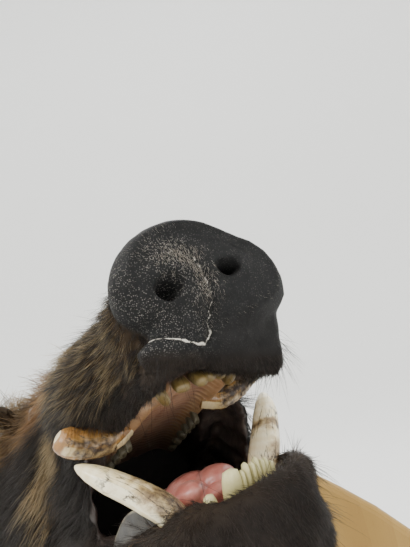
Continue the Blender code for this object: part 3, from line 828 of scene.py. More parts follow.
    def flesh(self) -> Item:
        """One closed mesh of all the flesh, with fillers in its sockets.

        Returns:
            The flesh, as one skin at the coat's tips.
        """
        whole = bmesh.new()
        for name in self.NODES:
            part = bmesh.new()
            part.from_mesh(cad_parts[name].data)
            bmesh.ops.remove_doubles(part, verts=part.verts, dist=1e-5)
            part.normal_update()
            for vert in part.verts:
                vert.co += vert.normal * self.OVERLAP
            scratch = bpy.data.meshes.new("scratch")
            part.to_mesh(scratch)
            part.free()
            whole.from_mesh(scratch)
            bpy.data.meshes.remove(scratch)
        for sign in (1, -1):
            for side, lean, forward, height, radii in self.SOCKETS:
                ball(whole, (sign * side + lean, forward, height), radii)
            self.web(whole, sign)
        for lip in self.LIPS:
            ball(whole, lip[:3], lip[3:])
        bmesh.ops.recalc_face_normals(whole, faces=whole.faces)
        return fused("hide_skin", whole, self.VOXEL, 4)

    def thin(self, item: Item) -> None:
        """Makes the mesh coarser where deep coat covers it.

        Args:
            item: The flesh.
        """
        head = to_head(co(item.data))
        deep = ease(-6.5, -14.0, head[:, 1]) * ease(3.4, 5.0, self.eye_distance(head)) * (
            1 - ease(0.0, 0.05, self.ear_share(head))) * (1 - self.in_mouth(head))
        group = item.vertex_groups.new(name="under_coat")
        for index in np.flatnonzero(deep > 0.0):
            group.add([int(index)], float(deep[index]), "REPLACE")
        fewer = item.modifiers.new("fewer_faces", "DECIMATE")
        fewer.ratio = self.THINNED
        fewer.vertex_group = group.name
        applied(item)
        item.vertex_groups.clear()

    def refine(self, item: Item, chosen: Callable[[Array], Array]) -> None:
        """Quarters the faces whose middle is chosen.

        Args:
            item: The hide.
            chosen: Tells from head-frame places which faces are meant.
        """
        bm = bmesh.new()
        bm.from_mesh(item.data)
        middles = to_head(np.array([f.calc_center_median() for f in bm.faces]))
        picked = chosen(middles)
        edges = {edge for face, use in zip(bm.faces, picked) if use for edge in face.edges}
        bmesh.ops.subdivide_edges(bm, edges=list(edges), cuts=1, use_grid_fill=True)
        uneven = [f for f in bm.faces if len(f.verts) > 4]
        bmesh.ops.triangulate(bm, faces=uneven)
        bm.to_mesh(item.data)
        bm.free()

    def ear_share(self, head: Array) -> Array:
        """How far up an ear each point lies, 0 off the ears.

        Args:
            head: Places in the head frame.

        Returns:
            One share for each place.
        """
        best = np.zeros(len(head))
        for sign in (1, -1):
            root = np.array(self.EAR_ROOT) * (sign, 1, 1)
            along = unit(np.array(self.EAR_ALONG) * (sign, 1, 1))
            run = (head - root) @ along
            off = np.linalg.norm(head - root - run[:, None] * along, axis=1)
            best = np.maximum(best, ease(1.5, 4.5, run) * (off < 5.2) * (run < 15.5))
        return best

    def eye_distance(self, head: Array) -> Array:
        """Distance to the nearer eye's middle, in centimetres."""
        return np.linalg.norm(np.abs(head) * (1, 0, 0) + head * (0, 1, 1) - self.EYE, axis=1)

    def in_mouth(self, head: Array) -> Array:
        """1 inside the mouth, 0 outside it.

        Args:
            head: Places in the head frame.

        Returns:
            One value for each place.
        """
        side, forward, height = np.abs(head[:, 0]), head[:, 1], head[:, 2]
        roof_width, roof = table(self.ROOF, forward)
        floor_width, floor = table(self.FLOOR, forward)
        above = (side < roof_width + 0.45) & (height < roof + 0.5) & (height > -4.0) & (forward < 6.2)
        below = (side < floor_width + 0.4) & (height > floor - 0.5) & (height < -3.4) & (forward < 5.0)
        past = np.clip((-1.0 - forward) / 11.4, 0.0, 1.0) ** 0.71
        cheek = (side < 5.85 + 0.9 * past) & (forward < 0.5) & (height < 1.0) & (height > -6.3)
        return ((above | below | cheek) & (forward > -12.6)).astype(float)

    def lip_share(self, head: Array) -> Array:
        """1 along the edges of the lips, falling to 0 away from them.

        Args:
            head: Places in the head frame.

        Returns:
            One share for each place.
        """
        forward, height = head[:, 1], head[:, 2]
        upper = ease(1.6, 0.6, height) * ease(-1.0, 1.0, height + 2.2) * ease(0.5, 2.5, forward)
        lower = ease(-7.4, -6.4, height) * ease(-2.8, -3.8, height) * ease(-3.0, 0.0, forward)
        return np.maximum(upper, lower)

    def coat_depth(self, head: Array, world: Array) -> Array:
        """How far the hide lies below the tips of the coat, in centimetres.

        Args:
            head: Places in the head frame.
            world: The same places in the world.

        Returns:
            One depth for each place.
        """
        side, forward, height = np.abs(head[:, 0]), head[:, 1], head[:, 2]
        face = 0.30 + 0.35 * ease(1.0, -6.0, forward) + 0.75 * ease(-6.0, -16.0, forward)
        face += 0.95 * ease(-18.0, -30.0, forward)
        face += 0.9 * ease(-14.0, -26.0, forward) * ease(7.0, 2.0, side) * ease(7.0, 12.0, height)
        face *= 1.0 - 0.75 * bell(self.eye_distance(head), 2.6)
        face = np.where(forward > 7.6, 0.0, face)
        face *= 1.0 - 0.9 * self.lip_share(head)
        face += (0.28 - face) * self.ear_share(head)
        face *= 1.0 - self.in_mouth(head)
        face *= 1.0 - 0.6 * ease(-0.05, SHIELD_FRONT, world[:, 1])
        return face

    def sculpt(self, head: Array, normal: Array) -> Array:
        """The folds, lids, lips and nostrils, as new head-frame places.

        Args:
            head: Vertex places in the head frame.
            normal: Vertex normals in the head frame.

        Returns:
            The sculpted places.
        """
        out = head.copy()
        side, forward, height = head.T
        front = ease(7.2, 9.0, forward)
        facing_front = ease(0.25, 0.75, normal[:, 1])
        # nostrils: deep ovals that lean outwards at the top, with a fold below the inner end
        for (x, z), sign in zip(self.NOSTRILS, (-1, 1)):
            across = (side - x) + sign * -0.18 * (height - z)
            up = height - z + 0.22 * sign * (side - x)
            wide, tall = (0.86, 0.72) if sign < 0 else (0.74, 0.40)
            round_ = np.sqrt((across / wide) ** 2 + (up / tall) ** 2)
            pit = (1.0 - ease(0.30, 1.15, round_)) * front
            out[:, 1] -= (2.1 if sign < 0 else 1.5) * pit
            out[:, 0] += sign * 0.25 * pit
            swell = bell(round_ - 1.45, 0.42) * front * facing_front
            out[:, 1] += 0.10 * swell
            lump = bell(np.hypot(across + sign * 0.34, up + 0.34), 0.26) * front
            out[:, 1] += 0.75 * lump * pit
        # the disc's left shoulder slopes
        out[:, 2] -= 0.80 * ease(7.0, 8.2, forward) * ease(4.6, 8.0, height) * bell(side - 3.3, 2.0)
        # a rolled rim round the disc and a shallow dish inside it
        radius = np.hypot((side - 0.6) / 5.0, (height + 0.21 * (side - 0.6) - 5.0) / 3.3)
        out[:, 1] += 0.22 * bell(radius - 0.86, 0.10) * facing_front * front
        out[:, 1] -= 0.17 * bell(radius - 0.66, 0.14) * facing_front * front
        # the furrow below the nostrils and the worn crack that ends it
        plane = beside(side, height)
        furrow = polyline_distance(plane, ((0.15, 4.7), (0.1, 3.2), (-0.1, 1.9), (-0.5, 1.4)))
        out[:, 1] -= 0.16 * bell(furrow, 0.20) * front * facing_front
        out[:, 1] -= 0.05 * bell(polyline_distance(plane, self.CRACK), 0.10) * front * facing_front
        # wrinkles across the bridge behind the disc
        ripple = np.sin(forward * 4.3 + 0.5 * np.sin(side * 0.9))
        ripple *= ease(7.8, 6.8, forward)
        ripple *= ease(1.5, 5.5, forward)
        out += normal * (0.10 * ripple * ease(3.5, 6.5, height))[:, None]
        # lids
        away = self.eye_distance(head)
        centre = np.tile(self.EYE, (len(head), 1))
        centre[:, 0] *= np.sign(side)
        ray = unit(head - centre)
        ahead, above = forward - self.EYE[1], height - self.EYE[2]
        almond = np.hypot((ahead - 0.08) / 1.05, (above - 0.12 * ahead) / 0.62)
        lid = self.EYE_RADIUS + 0.24 - 0.62 * (1.0 - ease(0.92, 1.18, almond))
        lid = lid + 0.16 * bell(almond - 1.25, 0.16) - 0.07 * bell(almond - 1.65, 0.14)
        near = ease(2.3, 1.5, away) * ease(0.1, 0.5, ray[:, 0] * np.sign(side))
        out = out * (1 - near[:, None]) + (centre + ray * lid[:, None]) * near[:, None]
        brow = bell(ahead + 0.2, 2.2) * bell(above - 1.9, 0.8) * ease(3.0, 4.5, np.abs(side))
        out += normal * (0.35 * brow)[:, None]
        # the lower lip stands up round the teeth
        lower = ease(-7.2, -6.2, height) * ease(-4.4, -5.0, height) * ease(-1.0, 2.0, forward)
        out[:, 2] += 0.30 * lower * (1 - ease(0.5, 1.0, self.in_mouth(head)))
        # the chin's left side is tucked in
        out[:, 0] -= 0.55 * ease(2.5, 4.5, side) * ease(-5.8, -8.0, height) * ease(-4.0, 0.0, forward)
        # uneven flesh
        lumps = cloud(head, 2.6, 3) - 0.5
        out += normal * (0.22 * lumps * ease(7.5, 5.0, forward))[:, None]
        # folds in the lining of the cheek
        lining = self.in_mouth(head) * ease(4.4, 5.2, np.abs(side))
        out += normal * (0.10 * np.sin(3.0 * height + 2.2 * forward + 3 * lumps) * lining)[:, None]
        return out

    def tints(self, head: Array, normal: Array) -> tuple[Array, Array]:
        """Markings and zones.

        Args:
            head: Places in the head frame.
            normal: Normals in the head frame.

        Returns:
            Two colour arrays: tint is (pale share, granules, painted shade) and zone is (bare disc, moist,
                crack).
        """
        side, forward, height = head.T
        left = ease(-0.6, 0.6, side)
        edge = 0.65 - 0.25 * side
        disc = ease(7.4, 8.1, forward) * ease(edge - 0.3, edge + 0.5, height + 0.25 * (forward - 9.0))
        flap = left * ease(7.6, 8.4, forward) * ease(0.4, 1.4, height) * ease(4.9, 4.2, side)
        disc = np.maximum(disc, flap)
        plane = beside(side, height)
        wobble = plane + 0.34 * (beside(cloud(head, 0.8, 11), cloud(head, 0.8, 12)) - 0.5)
        wobble += 0.16 * (beside(cloud(head, 0.25, 14), cloud(head, 0.25, 15)) - 0.5)
        crack = np.clip(1.0 - polyline_distance(wobble, self.CRACK) / 0.45, 0.0, 1.0)
        crack *= ease(-0.3, 0.1, normal[:, 1]) * (forward > 8.2)
        crack *= 1.0 - 0.06 * ease(1.9, 2.4, height) * ease(-1.2, -0.6, side)
        outer = ease(0.0, 0.4, normal[:, 0] * np.sign(side)) * ease(5.0, 5.4, np.abs(side))
        moist = self.in_mouth(head) * (1.0 - outer)
        corner = beside(np.abs(side) - 6.5, (forward + 3.3) * 0.9, (height + 3.1) * 0.8)
        fold = ease(0.95, 0.55, np.linalg.norm(corner, axis=1)) * ease(-0.1, 0.3, normal[:, 1])
        moist = np.maximum(moist, fold)
        granules = 0.22 + 0.78 * ease(1.2, -1.0, side) * ease(7.8, 6.5, height)
        pale = stripe_share(head)
        # painted shade: darker inside the mouth towards the throat, but not on the cheeks' side walls
        shade = self.in_mouth(head) * ease(-3.0, -9.0, forward) * (1.0 - ease(4.8, 5.6, np.abs(side)))
        # painted shade on the left upper lip, just behind the snout's disc
        left_lip_shade = 0.55 * ease(2.9, 1.6, height) * ease(6.0, 7.2, forward) * ease(-1.0, 1.0, side)
        shade = np.maximum(shade, left_lip_shade)
        return beside(pale, granules, shade), beside(disc, moist, crack)

    def build(self) -> Item:
        """Makes the hide and everything the coat needs from it.

        Returns:
            The hide.
        """
        item = self.flesh()
        self.thin(item)
        mesh = item.data
        points = co(mesh)
        depth = self.coat_depth(to_head(points), points)
        points = points - facing(mesh) * (depth * CM)[:, None]
        points = relax(mesh, points, self.SOFTENED * (depth > self.BARE), self.ROUNDS)
        set_co(mesh, points)
        self.refine(item, lambda p: ((p[:, 1] > 0.5) & (p[:, 2] < 9.5)) | (self.eye_distance(p) < 3.4) | (
            (p[:, 1] > -6.5) & (np.abs(p[:, 0]) < 7.8) & (p[:, 2] > -7.5) & (p[:, 2] < 2.0)))
        self.refine(item, lambda p: (p[:, 1] > 7.9) | (self.eye_distance(p) < 2.4))
        mesh = item.data
        points = co(mesh)
        head = to_head(points)
        fine = (head[:, 1] > -7.0) | (self.eye_distance(head) < 3.6)
        points = relax(mesh, points, self.SMOOTHED * fine, self.ROUNDS)
        set_co(mesh, points)
        normal = facing(mesh) @ HEAD_AXES
        head = self.sculpt(to_head(points), normal)
        points = to_world(head)
        points[:, 1] = np.minimum(points[:, 1], SHIELD_FRONT)
        set_co(mesh, points)
        tint, zone = self.tints(head, facing(mesh) @ HEAD_AXES)
        keep(mesh, "tint", tint)
        keep(mesh, "zone", zone)
        mesh.materials.clear()
        mesh.materials.append(self.finish)
        mesh.shade_smooth()
        self.item = item
        return item


def stripe_share(head: Array) -> Array:
    """Share of straw-coloured bristles: the cheek stripe, the brow and a scatter elsewhere.

    Args:
        head: Places in the head frame.

    Returns:
        One share for each place.
    """
    side, forward, height = np.abs(head[:, 0]), head[:, 1], head[:, 2]
    far = 1.2 * (cloud(head, 1.5, 44) - 0.5) * ease(0.0, -7.0, forward)
    high = 0.9 * (cloud(head, 1.5, 45) - 0.5) * ease(0.0, -7.0, forward)
    plane = beside(forward + far, height + high)
    course = ((0.5, 6.6), (-4.0, 5.0), (-7.0, 2.8), (-10.5, 1.0), (-15.0, -3.5))
    stripe = bell(polyline_distance(plane, course), 1.35)
    stripe *= ease(3.0, 5.0, side) * (0.72 + 0.28 * cloud(head, 1.1, 41)) * ease(-18.0, -9.0, forward)
    flank = 0.40 * ease(-3.0, 1.0, forward) * ease(8.2, 7.0, forward) * ease(0.2, 3.2, height)
    flank *= ease(2.0, 3.6, side)
    brow = (0.42 + 0.38 * ease(-19.0, -12.0, forward)) * ease(-2.5, -9.5, forward + far)
    brow *= ease(-36.0, -26.0, forward)
    brow *= ease(3.4, 8.2, height + high)
    brow *= 0.65 + 0.7 * cloud(head, 1.7, 43)
    cheek = 0.09 * ease(-8.0, -11.0, forward) * ease(-22.0, -16.0, forward)
    neck = 0.24 * ease(-14.0, -26.0, forward)
    lip = 0.30 * ease(-7.0, -5.0, height) * ease(0.0, 3.0, forward) * (height < -3.5)
    tuft = 0.9 * bell(np.linalg.norm(head - (5.6, 1.6, 0.4), axis=1), 1.5)
    snout = 0.9 * ease(8.2, 8.8, forward) * ease(3.2, 4.0, height)
    strongest = np.maximum.reduce([0.95 * stripe, tuft, snout, brow, flank, cheek, lip])
    return np.clip(strongest + neck + 0.04, 0.0, 1.0)


def gold_share(head: Array) -> Array:
    """How much warmer the pale bristles are: on the brow, the cheeks and the lower lip.

    Args:
        head: Places in the head frame.

    Returns:
        One share for each place.
    """
    forward, height = head[:, 1], head[:, 2]
    back = ease(-4.0, -9.5, forward) * (0.10 + 0.80 * ease(3.0, 7.6, height) * ease(-28.0, -14.0, forward))
    return np.maximum(back, 0.7 * ease(-8.0, -6.0, height) * (height < -3.5))


# ---- coat
@dataclass(frozen=True)
class Pelt:
    """One kind of coat, by real measures."""

    name: str
    where: Rule  # head place, skin zone -> share kept
    locks: float  # to the square centimetre
    hairs: int  # in a lock
    length: float  # cm
    thick_mm: float
    spread_mm: float  # lock radius at the root
    gather: float  # how far its tips draw together
    rise: float  # degrees off the skin at the root
    settle: float  # degrees at the tip
    sway: float  # degrees of sideways scatter
    sag: float = 0.12  # pull of gravity at the tip
    joints: int = 3  # straight pieces in a hair
    pale: float = 1.0  # share of the skin's own pale markings
    free: bool = False  # keeps its length at the lips
    worn: bool = False  # bleached white


class Coat:
    """Locks of bristle grown on the hide, one mesh for each kind of pelt."""

    PATCH = 0.003  # size of a hair's place on the coat's map
    EYE_CLEAR = (1.35, 1.8)  # no roots nearer the eye's middle, and all of them beyond
    QUICK_SHARE = 0.4
    CORNERS = (0.0, 2.1, 4.2)  # radians round a hair
    FLATTEN = 0.8  # thickness of a hair as a share of its width
    ROOT_DEPTH = 0.0006  # how far a hair starts below the skin

    def __init__(self, skin: Skin, finish: Material, bleached: Material) -> None:
        """Reads the finished hide.

        Args:
            skin: The hide, already built.
            finish: The bristle.
            bleached: The same, bleached white.
        """
        self.finish = finish
        self.bleached = bleached
        self.skin = skin
        mesh = skin.item.data
        mesh.calc_loop_triangles()
        self.corners = pull(mesh.loop_triangles, "vertices", 3, np.int32)
        self.points = co(mesh)
        self.normals = facing(mesh)
        self.tint = self.read(mesh, "tint")
        self.zone = self.read(mesh, "zone")
        a, b, c = (self.points[self.corners[:, k]] for k in range(3))
        self.area = 0.5 * np.linalg.norm(np.cross(b - a, c - a), axis=1) / CM ** 2
        self.middle = to_head((a + b + c) / 3)
        self.middle_zone = self.zone[self.corners].mean(axis=1)

    @staticmethod
    def read(mesh: Mesh, name: str) -> Array:
        """A colour attribute's first three values."""
        return pull(mesh.attributes[name].data, "color", 4, np.float32)[:, :3]

    def lie(self, head: Array, normal: Array) -> Array:
        """World direction in which the coat lies at each place.

        Args:
            head: Places in the head frame.
            normal: World normals there.

        Returns:
            Unit vectors along the skin.
        """
        side, forward, height = head.T
        local = normal @ HEAD_AXES
        flow = np.zeros_like(head)
        flow[:, 1] = -1.0
        down = 0.12 + 0.42 * ease(2.0, -5.0, forward)
        flow[:, 2] = -down * ease(0.15, 0.8, np.abs(local[:, 0])) - 1.1 * ease(0.35, 0.9, local[:, 1])
        flow[:, 0] = np.sign(side) * 0.35 * ease(0.5, 0.9, local[:, 2]) * ease(-14.0, 2.0, forward)
        lips = ease(1.5, 5.0, forward) * ease(3.0, 0.5, height)
        flow[:, 2] -= 0.9 * lips
        ears = self.skin.ear_share(head)
        for sign in (1, -1):
            along = unit(np.array(Skin.EAR_ALONG) * (sign, 1, 1))
            flow += (ears * (side * sign > 0) * 3.0)[:, None] * along
        world = unit(flow) @ HEAD_AXES.T
        neck = (ease(-20.0, -34.0, forward) * (1 - ears))[:, None]
        fall = np.array([0.0, 0.62, -0.78])
        world = world * (1 - neck) + fall * neck
        world = world - normal * np.sum(world * normal, axis=1, keepdims=True)
        return unit(world)

    def chart(self, head: Array) -> Array:
        """Places on the unwrapped hide: round the body across, from snout to shield up.

        Args:
            head: Places in the head frame.

        Returns:
            Map places, 0 to 1 each way.
        """
        round_ = np.arctan2(head[:, 0], head[:, 2] + 1.0) / (2 * math.pi) + 0.5
        run = np.clip((12.0 - head[:, 1]) / 70.0, 0.0, 0.80) + 0.15 * self.skin.ear_share(head)
        return beside(0.01 + 0.97 * round_, 0.01 + 0.97 * run)

    def grow(self, pelt: Pelt, seed: int) -> Item:
        """Makes one pelt as a joined mesh of three-sided tapering hairs.

        Args:
            pelt: Its measures.
            seed: For everything random in it.

        Returns:
            The coat piece.
        """
        chance = np.random.default_rng(seed)
        clear = ease(*self.EYE_CLEAR, self.skin.eye_distance(self.middle))
        weight = self.area * (pelt.where(self.middle, self.middle_zone) * clear)
        total = int(weight.sum() * pelt.locks * (1.0))
        chosen = np.searchsorted(np.cumsum(weight) / weight.sum(), chance.random(total))
        mixture = chance.random((total, 2))
        low = np.sqrt(mixture[:, :1])
        parts = np.hstack([1 - low, low * (1 - mixture[:, 1:]), low * mixture[:, 1:]])
        corners = self.corners[chosen]
        root = np.einsum("nk,nkd->nd", parts, self.points[corners])
        normal = unit(np.einsum("nk,nkd->nd", parts, self.normals[corners]))
        pale = np.einsum("nk,nkd->nd", parts, self.tint[corners])[:, 0]
        head = to_head(root)
        flow = self.lie(head, normal)
        # each lock leans its own way, more alike where it is near its neighbours
        drift = (cloud(head, 1.6, seed) - 0.5) * 1.6 + chance.normal(0, 0.6, total)
        turn = np.radians(pelt.sway) * drift
        across = np.cross(normal, flow)
        flow = flow * np.cos(turn)[:, None] + across * np.sin(turn)[:, None]
        size = pelt.length * (0.75 + 0.5 * cloud(head, 2.2, seed + 1)) * chance.uniform(0.8, 1.15, total)
        size *= 0.3 + 0.7 * ease(SHIELD_FRONT - 0.004, SHIELD_FRONT - 0.06, root[:, 1])
        size *= 1.0 - 0.80 * ease(4.3, 1.6, self.skin.eye_distance(head))
        if not pelt.free:
            front = ease(3.0, 6.5, head[:, 1]) * ease(3.4, 1.6, head[:, 2])
            size *= 1.0 - 0.48 * np.maximum(front, 0.95 * self.skin.lip_share(head))
            size *= 1.0 - 0.4 * ease(6.2, 7.8, head[:, 1])
        lock_tone = cloud(head, 0.9, seed + 2) * 0.35 + chance.random(total) * 0.65

        def each(values: Array) -> Array:
            """Repeats a lock's values for its hairs."""
            return np.repeat(values, pelt.hairs, axis=0)

        count = total * pelt.hairs
        angle = chance.uniform(0, 2 * math.pi, count)
        reach = pelt.spread_mm * 0.001 * np.sqrt(chance.random(count))
        normal, flow, across = each(normal), each(flow), np.cross(each(normal), each(flow))
        offset = flow * (reach * np.cos(angle))[:, None] + across * (reach * np.sin(angle))[:, None]
        length = each(size) * CM * chance.uniform(0.7, 1.1, count)
        lean = chance.normal(0, 0.10, (count, 2))
        place = each(root) - normal * self.ROOT_DEPTH
        rings = []
        for step in range(pelt.joints + 1):
            t = step / pelt.joints
            spot = place + offset * (1 - pelt.gather * t ** 1.3)
            rings.append(spot)
            angle_up = math.radians(pelt.rise * (1 - t) + pelt.settle * t) + lean[:, :1] * 1.3
            course = flow * np.cos(angle_up) + normal * np.sin(angle_up) + across * lean[:, 1:] * (0.4 + t)
            course[:, 2] -= pelt.sag * t
            place = place + unit(course) * (length / pelt.joints)[:, None]
        rings = np.stack(rings, axis=1)
        rings[:, :, 1] = np.minimum(rings[:, :, 1], SHIELD_FRONT)
        ahead = unit(rings[:, -1] - rings[:, 0])
        wide = unit(np.cross(ahead, normal))
        tall = np.cross(wide, ahead)
        half = 0.0005 * pelt.thick_mm * chance.uniform(0.7, 1.25, count)
        shape = []
        for step in range(pelt.joints):
            taper = half * (1.0 - 0.75 * (step / pelt.joints) ** 1.5)
            for corner in self.CORNERS:
                shape.append(rings[:, step] + wide * (taper * math.cos(corner))[:, None]
                             + tall * (taper * self.FLATTEN * math.sin(corner))[:, None])
        shape.append(rings[:, -1])
        points = np.stack(shape, axis=1)
        tone = each(lock_tone) * 0.7 + chance.random(count) * 0.3
        pale_hair = ease(-0.12, 0.12, np.clip(each(pale) * pelt.pale, 0, 1) - (0.15 + 0.75 * tone))
        along = np.array([step / pelt.joints for step in range(pelt.joints) for _ in range(3)] + [1.0])
        colour = np.empty((count, len(along), 3), np.float32)
        colour[:, :, 0] = pale_hair[:, None]
        colour[:, :, 1] = along
        warm = each(gold_share(head))
        colour[:, :, 2] = (warm + (1 - warm) * 0.35 * chance.random(count))[:, None]
        home = each(self.chart(head))
        patch = beside(np.array([0, 0.5, 1] * pelt.joints + [0.5]), along) * self.PATCH
        item = self.mesh(pelt.name, points, colour, home[:, None] + patch, pelt.joints)
        if pelt.worn:
            item.data.materials[0] = self.bleached
        triangles = count * (6 * pelt.joints - 3)
        log.info("%s: %d hairs in %d locks, %d triangles", pelt.name, count, total, triangles)
        return item

    def mesh(self, name: str, points: Array, colour: Array, chart: Array, joints: int) -> Item:
        """Joins hairs of one build into a mesh.

        Args:
            name: The piece's name.
            points: Vertex places, as (hair, vertex, 3).
            colour: The "hair" attribute, in the same order.
            chart: Places on the coat's map, in the same order.
            joints: Straight pieces in a hair.

        Returns:
            The coat piece.
        """
        loops, sizes = [], []
        for step in range(joints - 1):
            for k in range(3):
                n = (k + 1) % 3
                loops += [step * 3 + k, step * 3 + n, step * 3 + 3 + n, step * 3 + 3 + k]
                sizes.append(4)
        for k in range(3):
            loops += [joints * 3 - 3 + k, joints * 3 - 3 + (k + 1) % 3, joints * 3]
            sizes.append(3)
        count, each = points.shape[:2]
        corner = (np.arange(count)[:, None] * each + np.array(loops)).ravel()
        mesh = bpy.data.meshes.new(name)
        mesh.vertices.add(count * each)
        mesh.vertices.foreach_set("co", points.ravel())
        mesh.loops.add(len(corner))
        mesh.loops.foreach_set("vertex_index", corner.astype(np.int32))
        starts = np.concatenate([[0], np.cumsum(np.tile(sizes, count))[:-1]])
        mesh.polygons.add(len(starts))
        mesh.polygons.foreach_set("loop_start", starts.astype(np.int32))
        mesh.update(calc_edges=True)
        keep(mesh, "hair", colour.reshape(-1, 3))
        lay_out(mesh, chart.reshape(-1, 2)[corner])
        mesh.shade_smooth()
        mesh.materials.append(self.finish)
        item = linked(name, mesh)
        return item


class Stubble:
    """Fine pale hairs that lie over the bare disc, scattered by a node tree."""

    NAME = "coat_disc_stubble"
    DENSITY = 300000.0  # to the square metre where thickest
    LENGTH = 0.0015
    THICK = 0.00005
    CORNERS = 3

    def __init__(self, skin: Skin, coat: Coat) -> None:
        """Makes the hairs' finish.

        Args:
            skin: Carries the disc.
            coat: Gives the map.
        """
        self.skin = skin
        self.coat = coat
        self.finish = Bristle("grey_stubble", ("#47433b", "#787166", "#978f82")).make()

    def field(self, head: Array, normal: Array) -> tuple[Array, Array]:
        """Share of hairs and the way they lie, for each point of the hide.

        Args:
            head: Places in the head frame.
            normal: Normals there, in the head frame.

        Returns:
            Shares from 0 to 1, and unit vectors in the head frame.
        """
        side, forward, height = head.T
        plane = beside(side, height)
        ridge = polyline_distance(plane, ((-2.4, 6.6), (-0.3, 5.5), (0.25, 3.7), (0.0, 2.2)))
        rim = bell(np.hypot((side - 0.3) / 4.9, (height - 4.9) / 3.0) - 0.98, 0.13)
        share = bell(ridge, 0.65) + 0.30 * rim + 0.12 * ease(0.4, -0.8, side)
        share *= ease(8.4, 9.0, forward) * ease(1.5, 2.2, height)
        share *= 1 - 0.85 * bell(np.hypot(side + 1.85, height - 4.6), 0.75)
        middle = np.array([-0.3, 0.0, 4.4])
        out = (head - middle) * (1.0, 0.0, 1.0)
        lie = unit(out) + (0.0, -0.2, -0.25)
        lie = lie - normal * np.sum(lie * normal, axis=1, keepdims=True)
        return np.clip(share, 0, 1), unit(unit(lie) + 0.35 * normal)

    def tree(self) -> bpy.types.NodeTree:
        """Distribute, instance, realize and dress one tapering hair.

        Returns:
            The node tree.
        """
        tree = bpy.data.node_groups.new("disc_stubble", "GeometryNodeTree")
        face = tree.interface
        face.new_socket("Hide", in_out="INPUT", socket_type="NodeSocketGeometry")
        for name in ("Density", "Length", "Thickness"):
            face.new_socket(name, in_out="INPUT", socket_type="NodeSocketFloat")
        face.new_socket("Hair finish", in_out="INPUT", socket_type="NodeSocketMaterial")
        face.new_socket("Stubble", in_out="OUTPUT", socket_type="NodeSocketGeometry")
        given = add(tree, "GroupInput").node.outputs
        share = add(tree, "InputNamedAttribute FLOAT", "stubble")
        lie = add(tree, "InputNamedAttribute FLOAT_VECTOR", "stubble_lie")
        spots = add(tree, "DistributePointsOnFaces", Mesh=given["Hide"], Seed=7, distribute_method="RANDOM",
                    Density=add(tree, "*", share, given["Density"]))
        cone = add(tree, "MeshCone", Vertices=self.CORNERS, Radius_Top=0.0, Radius_Bottom=given["Thickness"],
                   Depth=given["Length"], fill_type="NGON")
        turn = add(tree, "AlignRotationToVector", Vector=lie, axis="Z")
        grow = add(tree, "RandomValue FLOAT", Min=0.6, Max=1.5, Seed=3)
        hairs = add(tree, "InstanceOnPoints", Points=spots, Instance=cone, Rotation=turn, Scale=grow)
        solid = add(tree, "RealizeInstances", hairs)
        add(tree, "GroupOutput", add(tree, "SetMaterial", Geometry=solid, Material=given["Hair finish"]))
        return tree

    def build(self) -> Item:
        """Makes the stubble as one plain mesh.

        Returns:
            The coat piece.
        """
        hide = self.skin.item.data
        points, normal = co(hide), facing(hide) @ HEAD_AXES
        share, lie = self.field(to_head(points), normal)
        source = hide.copy()
        keep(source, "stubble", share, Attribute.NUMBER)
        keep(source, "stubble_lie", lie @ HEAD_AXES.T, Attribute.VECTOR)
        item = linked(self.NAME, source)
        tree = self.tree()
        live = item.modifiers.new("stubble", "NODES")
        live.node_group = tree
        sizes = {"Density": self.DENSITY, "Length": self.LENGTH, "Thickness": self.THICK,
                 "Hair finish": self.finish}
        for socket in tree.interface.items_tree:
            if socket.name in sizes:
                live[socket.identifier] = sizes[socket.name]
        applied(item)
        mesh = item.data
        mesh.name = self.NAME
        for name in {"stubble", "stubble_lie", "UVMap"} & set(mesh.attributes.keys()):
            mesh.attributes.remove(mesh.attributes[name])
        points = co(mesh)
        each = self.CORNERS + 1
        root = points.reshape(-1, each, 3).mean(axis=1)
        home = np.repeat(self.coat.chart(to_head(root)), each, axis=0)
        spot = np.tile(np.array([[0, 0], [1, 0], [1, 1], [0, 1]]), (len(root), 1)) * Coat.PATCH
        lay_out(mesh, (home + spot)[pull(mesh.loops, "vertex_index", 1, np.int32)[:, 0]])
        tone = np.full((len(points), 3), (1.0, 0.9, 0.0), np.float32)
        keep(mesh, "hair", tone)
        mesh.shade_smooth()
        log.info("%s: %d hairs, %d faces", self.NAME, len(root), len(mesh.polygons))
        return item


